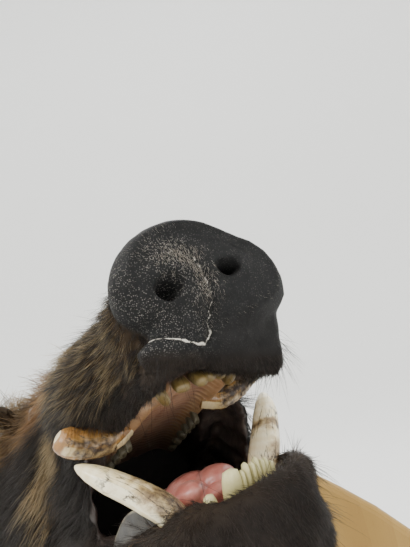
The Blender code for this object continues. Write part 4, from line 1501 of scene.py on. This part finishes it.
class Pelage:
    """Where each kind of coat grows on the boar."""

    @staticmethod
    def dry(zone: Array) -> Array:
        """1 on furred hide, 0 on the bare disc and inside the mouth."""
        return (1 - ease(0.2, 0.6, zone[:, 0])) * (1 - ease(0.25, 0.5, zone[:, 1]))

    @classmethod
    def span(cls, back: float, front: float, blend: float = 3.0) -> Rule:
        """Hide between two forward places, feathered at both ends.

        Args:
            back: Its rear end, in head-frame centimetres.
            front: Its front end.
            blend: Width of the feather.

        Returns:
            The rule.
        """
        def share(head: Array, zone: Array) -> Array:
            """Share of hairs kept.

            Args:
                head: Places in the head frame.
                zone: The skin's zones there.

            Returns:
                One share for each place.
            """
            forward = head[:, 1]
            rows = ease(back - blend, back + blend, forward) * ease(front + blend, front - blend, forward)
            return rows * cls.dry(zone)
        return share

    def __init__(self, skin: Skin) -> None:
        """Takes the skin, which tells the ears from the rest."""
        self.skin = skin

    def off_ears(self, rule: Rule) -> Rule:
        """The same rule, but bare on the ears."""
        return lambda head, zone: rule(head, zone) * (1 - ease(0.2, 0.5, self.skin.ear_share(head)))

    def lower(self, head: Array, zone: Array) -> Array:
        """Chin and lower jaw."""
        return self.dry(zone) * (head[:, 2] < -4.2) * ease(-9.0, -5.0, head[:, 1])

    def upper(self, back: float, front: float) -> Rule:
        """The muzzle above the mouth."""
        rule = self.span(back, front, 2.0)
        return lambda head, zone: rule(head, zone) * (head[:, 2] > -4.2)

    def crest(self, head: Array, zone: Array) -> Array:
        """The mane from the brow to the withers."""
        return (self.dry(zone) * bell(head[:, 0], 4.5) * ease(-10.0, -20.0, head[:, 1])
                * ease(6.0, 10.0, head[:, 2]) * (1 - self.skin.ear_share(head)))

    def ears(self, head: Array, zone: Array) -> Array:
        """Both ears."""
        return ease(0.05, 0.4, self.skin.ear_share(head))

    def whiskers(self, head: Array, zone: Array) -> Array:
        """Lips and chin."""
        lips = ease(3.0, 5.5, head[:, 1]) * ease(2.2, 1.0, head[:, 2])
        return self.dry(zone) * np.maximum(lips, 0.3 * ease(0.0, 3.0, head[:, 1]))

    @staticmethod
    def half(rule: Rule, sign: float) -> Rule:
        """The same rule on one side of the head only."""
        return lambda head, zone: rule(head, zone) * (head[:, 0] * sign > 0)

    def brush(self, head: Array, zone: Array) -> Array:
        """Ends of the lower lip and the chin's sides, where longer hair stands out."""
        low = ease(-10.5, -8.0, head[:, 2]) * (head[:, 2] < -4.6)
        return self.dry(zone) * low * ease(3.4, 4.6, np.abs(head[:, 0]))

    def snout_hairs(self, head: Array, zone: Array) -> Array:
        """Fine pale hairs above and between the nostrils.

        Args:
            head: Places in the head frame.
            zone: The skin's zones there; not used.

        Returns:
            One share for each place.
        """
        plane = beside(head[:, 0], head[:, 2])
        ridge = polyline_distance(plane, ((-1.6, 6.4), (-0.3, 5.7), (0.1, 4.6), (0.25, 3.2)))
        return bell(ridge, 0.55) * ease(8.4, 9.0, head[:, 1])

    def tuft(self, head: Array, zone: Array) -> Array:
        """Soft pale hair under the left lip, behind the upper tusk."""
        return bell(np.linalg.norm(head - (5.6, 1.6, 0.4), axis=1), 0.9)

    def flap_edge(self, head: Array, zone: Array) -> Array:
        """Outer edge of the left lip, where long bristles hang.

        Args:
            head: Places in the head frame.
            zone: The skin's zones there.

        Returns:
            One share for each place.
        """
        side, forward, height = head.T
        edge = (1 - zone[:, 1]) * ease(3.9, 4.6, side) * ease(6.2, 6.8, forward) * (forward < 8.6)
        return edge * ease(1.6, 0.4, height) * (height > -2.5)

    def pelts(self) -> tuple[Pelt, ...]:
        """Every kind of coat, face to withers.

        Returns:
            The pelts, in the order in which they are grown.
        """
        both = (
            ("muzzle", self.upper(1.0, 9.0), (26.0, 5, 1.6, 0.28, 1.7, 0.5, 18, 7, 16, 0.06, 2)),
            ("face", self.upper(-9.0, 0.0), (17.0, 4, 2.8, 0.34, 1.8, 0.35, 24, 9, 13, 0.12, 2)),
            ("jaw", self.lower, (20.0, 5, 1.25, 0.31, 2.2, 0.5, 22, 8, 26, 0.05, 2)),
            ("cheek", self.off_ears(self.span(-19.0, -9.0)),
             (7.0, 5, 4.2, 0.45, 2.4, 0.4, 24, 7, 13, 0.14, 2)))
        single = (
            ("nape", self.off_ears(self.span(-36.0, -20.0)),
             (2.4, 5, 5.2, 0.8, 3.5, 0.4, 26, 6, 14, 0.15, 2)),
            ("shoulder", self.off_ears(self.span(-80.0, -36.0)),
             (1.25, 5, 5.8, 1.1, 4.5, 0.4, 26, 5, 12, 0.15, 2)),
            ("mane", self.crest, (2.6, 4, 5.8, 0.6, 3.0, 0.5, 38, 14, 12, 0.10, 3)),
            ("ears", self.ears, (9.0, 3, 1.4, 0.48, 1.2, 0.3, 20, 6, 16, 0.05, 2)),
            ("brush", self.brush, (5.4, 3, 1.9, 0.31, 0.9, 0.2, 40, 26, 22, 0.05, 2, 1.0, True)),
            ("snout_hairs", self.snout_hairs,
             (110.0, 1, 0.5, 0.15, 0.5, 0.0, 34, 12, 30, 0.1, 2, 1.0, True, True)),
            ("lip_tuft", self.tuft, (40.0, 2, 1.9, 0.22, 0.8, 0.2, 40, 34, 24, 0.5, 4, 1.0, True)),
            ("flap_bristles", self.flap_edge, (14.0, 1, 2.3, 0.22, 0.5, 0.0, 46, 30, 26, 0.16, 4, 0.1, True)),
            ("whiskers", self.whiskers, (1.4, 1, 2.8, 0.24, 0.5, 0.0, 48, 34, 26, 0.12, 4, 0.2, True)))
        return (*(Pelt(f"coat_{name}_{label}", self.half(rule, sign), *sizes) for sign, label in SIDES
                  for name, rule, sizes in both),
                *(Pelt(f"coat_{name}", rule, *sizes) for name, rule, sizes in single))


# ---- mouth, tusks and eyes
@dataclass
class Tusk:
    """One tusk, swept along its own curve; lengths are head-frame centimetres."""

    name: str
    path: tuple[tuple[float, float, float], ...]  # side, forward, height from root to tip
    widths: tuple[tuple[float, float], ...]  # share of the path, half width
    flat: float  # thickness as a share of width
    side: tuple[float, float, float]
    worn: tuple[float, float, float]  # direction its worn or dirty face looks
    blunt: bool
    spot: float = 0.0  # share of the path where a brown stain sits, 0 for none

    ROWS = 64
    COLUMNS = 36
    BOXY, KEEN = 2.6, 2.3  # squareness of the section, blunt and sharp tusks

    def build(self, finish: Material) -> Item:
        """Sweeps the tusk with its growth swellings, worn tip and pitted underside.

        Args:
            finish: The ivory.

        Returns:
            The tusk.
        """
        path = curve_through(self.path, self.ROWS)
        tangent = unit(np.gradient(path, axis=0))
        wide_way = unit(np.array(self.side) - tangent * (tangent @ np.array(self.side))[:, None])
        thin_way = np.cross(tangent, wide_way)
        share = np.linspace(0, 1, self.ROWS)
        half = table(self.widths, share)[0]
        angle, c, s = section(self.COLUMNS, self.BOXY if self.blunt else self.KEEN)
        rings = (path[:, None] + wide_way[:, None] * (half[:, None] * c)[..., None]
                 + thin_way[:, None] * (half[:, None] * s * self.flat)[..., None])
        flat = rings.reshape(-1, 3)
        out = unit(flat - np.repeat(path, self.COLUMNS, axis=0))
        along = np.repeat(share, self.COLUMNS)
        around = np.tile(angle, self.ROWS)
        worn = ease(0.15, 0.75, out @ unit(np.array(self.worn)))
        rough = cloud(flat, 0.30, 5) - 0.5
        if self.blunt:
            hollow = worn * ease(0.86, 0.62, along) * ease(0.1, 0.3, along)
            ring = np.sin(along * 95 + 2 * cloud(flat, 1.2, 2))
            flat = flat + out * (0.012 * ring - 0.16 * hollow + 0.16 * rough * hollow + 0.02 * rough)[:, None]
        else:
            flute = bell(np.sin(around * 0.5 + 0.3), 0.12)
            flat = flat + out * (0.02 * rough - 0.04 * flute)[:, None]
            hollow = worn * ease(0.75, 0.45, along)
            hollow = np.maximum(hollow, (self.spot > 0) * bell(along - self.spot, 0.055))
        item = piece(self.name + "_ivory", to_world(flat), tube_faces(self.ROWS, self.COLUMNS), finish)
        grain = beside(along, 0.5 + 0.5 * np.cos(around), hollow)
        keep(item.data, "grain", grain)
        rim = ease(0.86, 0.98, np.abs(np.cos(around))) * ease(0.90, 0.72, along) + ease(0.965, 0.99, along)
        keep(item.data, "rim", rim, Attribute.NUMBER)
        return seat(item, "ivory", self.name)


class Tusks:
    """The four tusks."""

    UPPER = ((3.1, -0.1, 1.0), (4.5, 0.2, 0.4), (5.9, 0.6, 0.55), (6.9, 1.0, 0.95), (7.4, 1.2, 1.4))
    UPPER_WIDTHS = ((0, 0.95), (0.25, 1.0), (0.5, 0.97), (0.75, 0.88), (0.88, 0.76), (0.95, 0.58),
        (0.985, 0.36), (1.0, 0.12))
    LOWER = ((3.2, 2.6, -8.0), (3.5, 2.6, -5.5), (4.6, 2.6, -3.9), (6.2, 2.0, -2.05), (7.3, 1.2, -0.65))
    LOWER_WIDTHS = ((0, 1.0), (0.25, 1.08), (0.5, 1.06), (0.72, 0.92), (0.86, 0.68), (0.94, 0.44),
        (0.98, 0.25), (1.0, 0.08))
    UPPER_BIAS = -0.3
    LOWER_STAGGER = 0.5
    STAIN_AT = 0.60  # share of the left lower tusk where a brown stain sits

    def build(self) -> list[Item]:
        """Makes both pairs.

        Returns:
            The four tusks.
        """
        amber = Ivory("amber_tusk_ivory", "#a67a44", "#7f5a32", "#2c1c12", 0.50, 1.1, "#dccba0").make()
        # the left lower tusk's ivory is paler than the right's
        white = {1: Ivory("paler_tusk_ivory", "#fbf0d2", "#ebdcb2", "#5a3f22", 0.40, 3.0, "#f5ecd0").make(),
                 -1: Ivory("white_tusk_ivory", "#f4e7c2", "#dac892", "#4a3420", 0.46, 3.0, "#f4ebcc").make()}
        made = []
        for sign, label in SIDES:
            path = tuple((sign * x + self.UPPER_BIAS, f, z) for x, f, z in self.UPPER)
            worn = (0.0, 0.75, -0.65) if sign > 0 else (0.55, 0.35, -0.75)
            tusk = Tusk(f"upper_tusk_{label}", path, self.UPPER_WIDTHS, 0.85, (0.0, -0.4, 1.0), worn, True)
            made.append(tusk.build(amber))
            path = tuple((sign * x, f - sign * self.LOWER_STAGGER, z) for x, f, z in self.LOWER)
            worn = (-0.2, 0.5, -0.8) if sign > 0 else (0.2, 0.8, 0.3)
            tusk = Tusk(f"lower_tusk_{label}", path, self.LOWER_WIDTHS, 0.66, (sign * 0.7, 0.7, 0.0), worn,
                        False, self.STAIN_AT if sign > 0 else 0.0)
            made.append(tusk.build(white[sign]))
        return made


CUSP_HEIGHT = 0.14


def tooth(root: Row, tip: Row, wide: float, thin: float, side: Row,
          square: float = 2.4, cusps: int = 0) -> Shape:
    """One tooth as a rounded peg.

    Args:
        root: Its foot, in head-frame centimetres.
        tip: Its biting end.
        wide: Half its width along side.
        thin: Half its thickness.
        side: Direction of the width.
        square: How boxy its section is.
        cusps: Bumps along the biting end.

    Returns:
        Points, faces, and the "grain" of each point.
    """
    rows, columns = 11, 18
    shoulder, rounded = 0.72, 0.28  # shares of its height below the rounded end, and in it
    root, tip = np.array(root, float), np.array(tip, float)
    axis = unit(tip - root)
    across = unit(np.array(side, float) - axis * (axis @ np.array(side, float)))
    other = np.cross(axis, across)
    height = np.linalg.norm(tip - root)
    angle, c, s = section(columns, square)
    points, grain = [], []
    for row in range(rows):
        u = row / (rows - 1)
        cap = max(u - shoulder, 0.0) / rounded
        size = (0.86 + 0.26 * math.sin(min(u / 0.8, 1.0) * 2.2)) * math.sqrt(max(1 - (cap * 0.98) ** 2, 0.0))
        lift = height * (u if u < shoulder else shoulder + rounded * math.sin(cap * math.pi / 2))
        ring = root + axis * lift + across * (wide * size * c)[:, None] + other * (thin * size * s)[:, None]
        if cusps:
            ring += axis * (CUSP_HEIGHT * cap * np.cos(c * math.pi * cusps))[:, None]
        points.append(ring)
        grain.append(beside(0 * angle + u, 0 * angle + (cusps > 0), angle / (2 * math.pi)))
    return np.concatenate(points), tube_faces(rows, columns), np.concatenate(grain)


def join(parts: list[Shape]) -> Shape:
    """Several closed shapes as one list of points, faces and grains.

    Args:
        parts: The shapes.

    Returns:
        One shape.
    """
    points, faces, grains, start = [], [], [], 0
    for place, shape, grain in parts:
        points.append(place)
        grains.append(grain)
        faces += [tuple(i + start for i in face) for face in shape]
        start += len(place)
    return np.concatenate(points), faces, np.concatenate(grains)


class Mouth:
    """Palate, gums, teeth and tongue."""

    ACROSS = (1.0, 0.0, 0.0)
    ALONG = (0.0, 1.0, 0.0)
    BACK = -11.6  # where the mouth ends in the throat
    RUGA_STEP = 0.58  # spacing of the palate's ridges
    # cutting teeth: root, tip, half width and half thickness
    UPPER_INCISORS = ((0.30, 5.9, 1.2, 0.22, 6.65, 0.12, 0.36, 0.30),
        (-0.55, 5.9, 1.2, -0.50, 6.9, -0.02, 0.40, 0.30), (-1.45, 5.8, 1.1, -1.55, 6.4, 0.10, 0.46, 0.28),
        (1.3, 5.6, 1.0, 1.35, 6.1, 0.2, 0.36, 0.30))
    LOWER_INCISORS = ((-1.75, 4.2, -7.4, -2.10, 4.9, -5.15, 0.34, 0.30),
        (-0.95, 4.4, -7.4, -0.62, 5.6, -4.55, 0.56, 0.34), (-0.15, 4.4, -7.4, 0.02, 5.5, -4.85, 0.15, 0.28),
        (0.2, 4.4, -7.4, 0.42, 5.5, -4.58, 0.19, 0.30), (0.6, 4.4, -7.4, 0.88, 5.4, -4.72, 0.17, 0.28),
        (0.98, 4.4, -7.4, 1.28, 5.3, -4.55, 0.17, 0.30), (1.35, 4.3, -7.4, 1.72, 5.1, -4.78, 0.18, 0.28),
        (1.7, 4.2, -7.4, 2.12, 4.9, -4.80, 0.17, 0.28), (2.1, 4.1, -7.2, 2.54, 4.7, -5.1, 0.19, 0.28))
    # dried gum round the foot of each lower tusk, and lobes of the tongue: centre and radii
    SOCKETS = ((-3.25, 3.35, -6.3, 1.5, 1.3, 0.85), (-2.6, 3.0, -6.0, 1.1, 0.9, 0.6),
        (-3.9, 2.6, -6.0, 0.9, 1.1, 0.6), (3.2, 2.3, -6.5, 1.4, 1.2, 0.7), (-1.9, 2.9, -6.1, 0.7, 0.8, 0.5))
    # top edge of the dried lip flap outside the right tusk: side, forward, height
    FLAP = ((-3.7, 3.5, -5.5), (-4.2, 2.7, -4.6), (-4.7, 1.4, -4.1), (-5.1, 0.0, -4.05), (-5.5, -1.8, -4.7),
        (-5.7, -3.0, -5.4))
    TONGUE = ((3.4, 1.0, -5.6, -6.4), (2.7, 1.7, -5.0, -6.8), (1.0, 2.1, -4.4, -6.9),
        (-1.5, 2.3, -3.9, -6.9), (-5.0, 2.4, -2.8, -6.8), (-8.5, 2.5, -2.7, -6.6), (-11.0, 2.5, -2.8, -6.4))
    LOBES = ((-1.75, 1.4, -4.75, 1.15, 1.9, 0.85), (0.5, 1.0, -4.6, 1.35, 1.7, 0.95),
        (-0.5, -1.0, -4.1, 1.5, 1.8, 0.8), (-0.5, 2.6, -5.3, 1.4, 0.9, 0.55),
        (1.8, -0.6, -4.6, 1.0, 1.6, 0.8))

    def __init__(self) -> None:
        """Makes the finishes."""
        self.palate_finish = Flesh("palate_flesh", "#64472f", "#a27d59", "#c4a47e", "#1c110c", 0.36, 6.0,
                                   "#886456").make()
        self.gum_finish = Flesh("gum_flesh", "#5c3a2c", "#94694a", "#b58f68", "#1c1210", 0.25, 6.0).make()
        self.tongue_finish = Flesh("tongue_flesh", "#8f4a44", "#bf7468", "#dba296", "#2c1515", 0.26).make()
        self.enamel = Enamel("tooth_enamel").make()
        self.stained = Enamel("stained_enamel", "#2a1e12", "#4d3e22", "#6a582f").make()

    @staticmethod
    def put(name: str, made: Shape, finish: Material, slot: str,
            nodes: Sequence[str] = ()) -> Item:
        """Turns a shape into a finished piece that rides on the mount.

        Args:
            name: The piece's name.
            made: Its shape, in head-frame centimetres.
            finish: Its material.
            slot: The name of a finish slot; not used.
            nodes: Solids it stands for.

        Returns:
            The piece.
        """
        points, faces, grain = made
        item = piece(name, to_world(points), faces, finish)
        keep(item.data, "grain", grain)
        return seat(item, slot, *nodes)

    def ruga(self, bow: Array) -> Array:
        """Height of the palate's ridges, 0 in the furrows and 1 between them, along their bowed rows."""
        return np.abs(np.sin(math.pi * bow / self.RUGA_STEP)) ** 0.6

    def palate(self) -> Item:
        """Ridged roof of the mouth with its gum margins.

        Returns:
            The piece.
        """
        def surface(forward: Array, across: Array) -> Array:
            """Head place at a forward station and a share across.

            Args:
                forward: Forward stations.
                across: Shares across, -1 to 1.

            Returns:
                Head-frame places.
            """
            width, roof = table(Skin.ROOF, forward)
            width = width + 0.25 * ease(6.0, 3.0, forward)
            swell = bell(np.abs(across) - 0.74, 0.17)
            bow = forward + 0.55 * np.abs(across) + 0.12 * np.sin(across * 3 + forward)
            ridge = self.ruga(bow)
            middle = ease(0.72, 0.5, np.abs(across))
            fade = ease(-11.0, -6.0, forward)
            z = roof - 0.62 - 0.85 * swell * ease(6.6, 4.6, forward)
            z = z + 0.13 * ridge * middle * fade + 0.10 * bell(across, 0.05) * middle
            z = z + 1.1 * ease(0.93, 1.0, np.abs(across))
            return np.stack([across * width, forward, z], axis=-1)
        forward, across = np.linspace(6.5, self.BACK, 190), np.linspace(-1, 1, 61)
        points, faces, grid = slab(forward, across, surface, (0.0, 0.0, 0.25))
        forward, across = grid.T
        bow = forward + 0.55 * np.abs(across)
        ridge = (1 - self.ruga(bow)) * ease(0.72, 0.55, np.abs(across)) + 0.3 * cloud(points, 0.6, 19)
        # painted shade: darker towards the throat, and at its front edge by the cutting teeth
        depth = np.maximum(0.75 * ease(0.5, -9.0, forward), 0.7 * ease(5.3, 6.2, forward))
        bruise = 0.85 * ease(0.66, 0.42, np.abs(across)) * (0.6 + 0.4 * cloud(points, 0.8, 8))
        grain = beside(depth, ridge, bruise)
        return self.put("palate", (points, faces, grain), self.palate_finish, "gum", ("palate_teeth",))

    def upper_teeth(self) -> Item:
        """Upper cutting teeth and both rows of cheek teeth.

        Returns:
            The piece.
        """
        parts = [tooth(row[:3], row[3:6], *row[6:], self.ACROSS, 2.8) for row in self.UPPER_INCISORS]
        parts.append(tooth((-2.55, 5.3, 1.0), (-2.55, 5.6, 0.05), 0.85, 0.30, (-0.5, 0.85, 0.0)))
        parts.append(tooth((2.5, 4.8, 0.9), (2.5, 5.0, 0.0), 0.60, 0.32, self.ALONG))
        for sign in (1, -1):
            for number in range(6):
                back = 2.4 + 1.22 * number + 0.06 * number ** 2
                size = 0.34 + 0.05 * number
                x = sign * (2.8 + 0.14 * number)
                parts.append(tooth((x, -back, 0.6), (x, -back, -0.38), size, size * 0.62, self.ALONG, 2.8,
                                   1 + (number > 2)))
        return self.put("upper_teeth", join(parts), self.stained, "ivory")

    def lower_teeth(self) -> Item:
        """Lower cutting teeth, fanned and fluted, and both rows of cheek teeth.

        Returns:
            The piece.
        """
        parts = [tooth(row[:3], row[3:6], *row[6:], self.ACROSS, 2.2) for row in self.LOWER_INCISORS]
        for sign in (1, -1):
            for number in range(5):
                back = 0.8 + 1.75 * number
                size = 0.5 + 0.07 * number
                x = sign * (3.15 + 0.1 * number)
                top = -6.2 + 0.24 * number
                parts.append(tooth((x, -back, top - 1.6), (x, -back, top), size, size * 0.75, self.ALONG, 2.8,
                                   1 + (number > 2)))
        return self.put("lower_teeth", join(parts), self.enamel, "ivory")

    def floor(self) -> Item:
        """Lower gum and the floor of the mouth.

        Returns:
            The piece.
        """
        def surface(forward: Array, across: Array) -> Array:
            """Head place at a forward station and a share across.

            Args:
                forward: Forward stations.
                across: Shares across, -1 to 1.

            Returns:
                Head-frame places.
            """
            width, floor = table(Skin.FLOOR, forward)
            width = width + 0.45
            off = np.abs(across)
            swell = bell(off - 0.76, 0.20) + 0.9 * ease(3.2, 5.0, forward) * ease(0.95, 0.7, off)
            z = floor + 0.62 + 1.05 * np.minimum(swell, 1.1) - 1.2 * ease(0.93, 1.0, off)
            z = z + 0.10 * np.sin(5 * across + 2 * forward) * np.sin(3.1 * forward)
            return np.stack([across * width, forward, z], axis=-1)
        forward, across = np.linspace(5.4, self.BACK, 90), np.linspace(-1, 1, 41)
        points, faces, grid = slab(forward, across, surface, (0.0, 0.0, -0.25))
        # painted shade: the first value darkens the gum towards the throat
        grain = beside(0.7 * ease(0.0, -9.0, grid[:, 0]), cloud(points, 0.7, 4) * 0.6,
                          0.6 * cloud(points, 1.0, 9))
        return self.put("lower_gum", (points, faces, grain), self.gum_finish, "gum", ("lower_gum_teeth",))

    @staticmethod
    def lobes(name: str, balls: Iterable, voxel_mm: float, finish: Material) -> Item:
        """Runs ellipsoids together into one soft mass.

        Args:
            name: The piece's name.
            balls: Rows of a centre and radii, in head-frame centimetres.
            voxel_mm: How finely they are joined.
            finish: Its material.

        Returns:
            The piece.
        """
        bm = bmesh.new()
        for row in balls:
            ball(bm, row[:3], row[3:])
        item = fused(name, bm, voxel_mm * 0.001, 3)
        item.data.materials.append(finish)
        item.data.shade_smooth()
        return item

    def tongue(self) -> Item:
        """Tongue, swollen into soft lobes behind the cutting teeth.

        Returns:
            The piece.
        """
        balls = []
        for forward in np.linspace(3.4, -11.0, 16):
            width, top, bottom = (float(v[0]) for v in table(self.TONGUE, np.array([forward])))
            balls.append((0.0, forward - 0.3, 0.5 * (top + bottom) - 0.25,
                          width * 0.93, 0.9, 0.43 * (top - bottom)))
        item = self.lobes("tongue_flesh", [*balls, *self.LOBES], 1.2, self.tongue_finish)
        head = to_head(co(item.data))
        crease = cloud(head, 0.45, 21) - 0.5
        head = head + 0.06 * crease[:, None] * facing(item.data) @ HEAD_AXES
        set_co(item.data, to_world(head))
        # painted shade: the first value darkens the tongue towards the throat
        grain = beside(0.8 * ease(-1.0, -9.0, head[:, 1]), cloud(head, 0.8, 6) * 0.5,
                          0.25 * cloud(head, 1.5, 7))
        keep(item.data, "grain", grain)
        return seat(item, "tongue", "tongue")

    def sockets(self) -> Item:
        """Dried, yellowed gum heaped round the foot of each lower tusk.

        Returns:
            The piece.
        """
        finish = Flesh("yellowed_gum", "#463c2a", "#8d8057", "#b8ad80", "#1c1612", 0.34, 3.0).make()
        item = self.lobes("dried_gum", self.SOCKETS, 1.1, finish)
        head = to_head(co(item.data))
        head = head + 0.16 * (cloud(head, 0.35, 31) - 0.5)[:, None] * facing(item.data) @ HEAD_AXES
        set_co(item.data, to_world(head))
        bruise = 0.75 * ease(0.45, 0.8, cloud(head, 0.8, 33))
        keep(item.data, "grain", beside(0 * bruise, cloud(head, 0.5, 32), bruise))
        return seat(item, "gum")

    def flap(self) -> Item:
        """Dried edge of the lip that stands up outside the right lower tusk.

        Returns:
            The piece.
        """
        finish = Flesh("dried_lip", "#1f1c19", "#3a352d", "#8a826f", "#14110f", 0.30, 5.0).make()
        line = curve_through(self.FLAP, 60)

        def surface(u: Array, v: Array) -> Array:
            """Head place along the flap and up it.

            Args:
                u: Shares along it.
                v: Shares up it.

            Returns:
                Head-frame places.
            """
            top = np.stack([np.interp(u, np.linspace(0, 1, 60), line[:, k]) for k in range(3)], axis=-1)
            foot = top * (1.0, 1.0, 0.0) + (0.55, -0.1, -6.7)
            bow = np.sin(math.pi * v)[..., None] * (-0.35, 0.0, 0.0)
            return foot * (1 - v[..., None]) + top * v[..., None] + bow
        points, faces, grid = slab(np.linspace(0, 1, 60), np.linspace(0, 1, 16), surface, (0.13, 0.0, 0.0))
        u, v = grid.T
        rim = np.maximum(ease(0.93, 0.99, v), 0.4 * ease(0.12, 0.0, u))
        points = points + 0.07 * (cloud(points, 0.5, 17) - 0.5)[:, None]
        ridge = 1.3 * rim * (0.4 + 0.6 * cloud(points, 0.4, 18))
        # painted shade: the first value darkens the flap towards its foot
        grain = beside(0.4 * ease(0.6, 0.0, v), ridge, 0 * u)
        return self.put("dried_lip_flap", (points, faces, grain), finish, "hide")

    def build(self) -> list[Item]:
        """Makes everything inside the lips."""
        return [make() for make in (self.palate, self.upper_teeth, self.floor, self.lower_teeth, self.tongue,
                                    self.sockets, self.flap)]


class Eyes:
    """The pair of glass eyes."""

    ROWS = 40
    COLUMNS = 48
    GAZE = (0.86, 0.48, 0.12)  # head: outwards, forwards and a little up

    def build(self) -> list[Item]:
        """Makes both balls with the pupil along the gaze.

        Returns:
            The two eyes.
        """
        finish = EyeGlass("brown_eye_glass").make()
        made = []
        for sign, label in SIDES:
            gaze = unit(np.array(self.GAZE) * (sign, 1, 1))
            aside = unit(np.cross(gaze, (0.0, 0.0, 1.0)))
            up = np.cross(aside, gaze)
            centre = np.array(Skin.EYE) * (sign, 1, 1)
            points = []
            turn = np.linspace(0, math.pi, self.ROWS)[1:-1]
            around = np.linspace(0, 2 * math.pi, self.COLUMNS, endpoint=False)
            for angle in turn:
                bulge = Skin.EYE_RADIUS * (1.0 + 0.05 * float(bell(angle, 0.5)))
                circle = aside * np.cos(around)[:, None] + up * np.sin(around)[:, None]
                points.append(centre + (gaze * math.cos(angle) + circle * math.sin(angle)) * bulge)
            item = piece(f"glass_eye_{label}", to_world(np.concatenate(points)),
                         tube_faces(len(turn), self.COLUMNS), finish)
            angle = np.repeat(turn / math.pi, self.COLUMNS)
            keep(item.data, "grain", beside(angle * 1.6, angle * 0, angle * 0))
            made.append(seat(item, "eye_glass", f"eye_{label}"))
        return made


# ---- shield and studio
class Shield:
    """The wooden wall shield with its steel hanger."""

    def build(self) -> None:
        """Gives the carried-over solids their finishes."""
        finishes = {"shield": PaleWood("pale_varnished_wood"), "hanger_plate": ZincSteel("zinc_steel")}
        for name, finish in finishes.items():
            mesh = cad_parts[name].data
            material = finish.make()
            mesh.materials.clear()
            mesh.materials.append(material)


@dataclass
class Studio:
    """Pale seamless sweep, soft lights and the camera."""

    floor: float = -0.62
    radius: float = 4.2
    wall: float = 9.0
    corner: float = 1.6
    turns: int = 72
    bend_steps: int = 14
    hub: float = 0.001  # hole in the middle of the floor, hidden by its size
    sky: str = "#f2f3f4"
    sky_strength: float = 2.0
    # name, place, target, width, watts
    lamps: tuple[tuple[str, Row, Row, float, float], ...] = (
        ("key", (-1.0, -1.5, 2.0), (0.16, -0.42, 0.36), 1.3, 50.0),
        ("fill", (1.5, -1.3, 0.8), (0.16, -0.42, 0.36), 1.6, 18.0),
        ("back", (0.6, 1.8, 1.8), (0.16, -0.42, 0.36), 1.8, 26.0),
        ("wall", (0.0, 1.2, 4.2), (-1.0, 4.0, 1.0), 2.0, 42.0))
    view_place: Row = (0.26435, -0.66317, 0.42347)
    view_ahead: Row = (-0.20173, 0.97567, 0.08586)
    view_up: Row = (0.24775, -0.03398, 0.96823)
    lens_mm: float = 27.54

    def sweep(self) -> Item:
        """A floor that curves up into a round wall on every side.

        Returns:
            The backdrop.
        """
        bend = np.linspace(0, math.pi / 2, self.bend_steps)
        profile = [(self.hub, self.floor),
                   *((self.radius - self.corner + self.corner * math.sin(a),
                      self.floor + self.corner * (1 - math.cos(a))) for a in bend),
                   (self.radius, self.floor + self.wall)]
        points = [(r * math.cos(angle), r * math.sin(angle), z) for r, z in profile
                  for angle in (2 * math.pi * k / self.turns for k in range(self.turns))]
        faces = tube_faces(len(profile), self.turns)[:-2]
        mesh = bpy.data.meshes.new("studio_sweep")
        mesh.from_pydata(points, [], faces)
        mesh.shade_smooth()
        mesh.materials.append(StudioPaper("pale_paper").make())
        item = linked("studio_sweep", mesh)
        return item

    def light(self, name: str, place: Row, target: Row, size: float, power: float) -> None:
        """Hangs a soft square lamp aimed at a target.

        Args:
            name: The lamp's name.
            place: Where it hangs.
            target: Where it looks.
            size: Its width.
            power: Its watts.
        """
        lamp = bpy.data.lights.new(name, "AREA")
        lamp.size = size
        lamp.energy = power
        item = linked(name, lamp)
        item.location = place
        item.rotation_euler = (Vector(target) - Vector(place)).to_track_quat("-Z", "Y").to_euler()

    def camera(self) -> None:
        """Stands the camera close below the snout, tilted."""
        ahead = Vector(self.view_ahead).normalized()
        right = ahead.cross(Vector(self.view_up)).normalized()
        data = bpy.data.cameras.new("view")
        data.lens = self.lens_mm
        data.clip_start = 0.01
        item = linked("view", data)
        turn = Matrix((right, right.cross(ahead), -ahead)).transposed()
        item.matrix_world = Matrix.Translation(self.view_place) @ turn.to_4x4()
        bpy.context.scene.camera = item

    def build(self) -> None:
        """Sets the stage."""
        self.sweep()
        world = bpy.data.worlds.new("studio_world")
        world.use_nodes = True
        glow = world.node_tree.nodes["Background"].inputs
        glow["Color"].default_value = linear(self.sky)
        glow["Strength"].default_value = self.sky_strength
        bpy.context.scene.world = world
        for lamp in self.lamps:
            self.light(*lamp)
        self.camera()


def main() -> None:
    """Builds the mount and its studio."""
    logging.basicConfig(level=logging.INFO, format="%(name)s: %(message)s")
    Shield().build()
    log.info("shield finished")
    skin = Skin(Hide("boar_hide").make())
    item = seat(skin.build(), "hide", *Skin.NODES)
    log.info("hide: %d faces", len(item.data.polygons))
    for made in Tusks().build() + Mouth().build() + Eyes().build():
        log.info("%s: %d faces", made.name, len(made.data.polygons))
    coat = Coat(skin, Bristle("boar_bristle").make(),
                Bristle("bleached_bristle", ("#5a564e", "#a39d91", "#cdc7bb")).make())
    coats = [coat.grow(pelt, 101 + number) for number, pelt in enumerate(Pelage(skin).pelts())]
    for made in coats + [Stubble(skin, coat).build()]:
        seat(made, "hide")
    Studio().build()


if __name__ == "__main__":
    main()
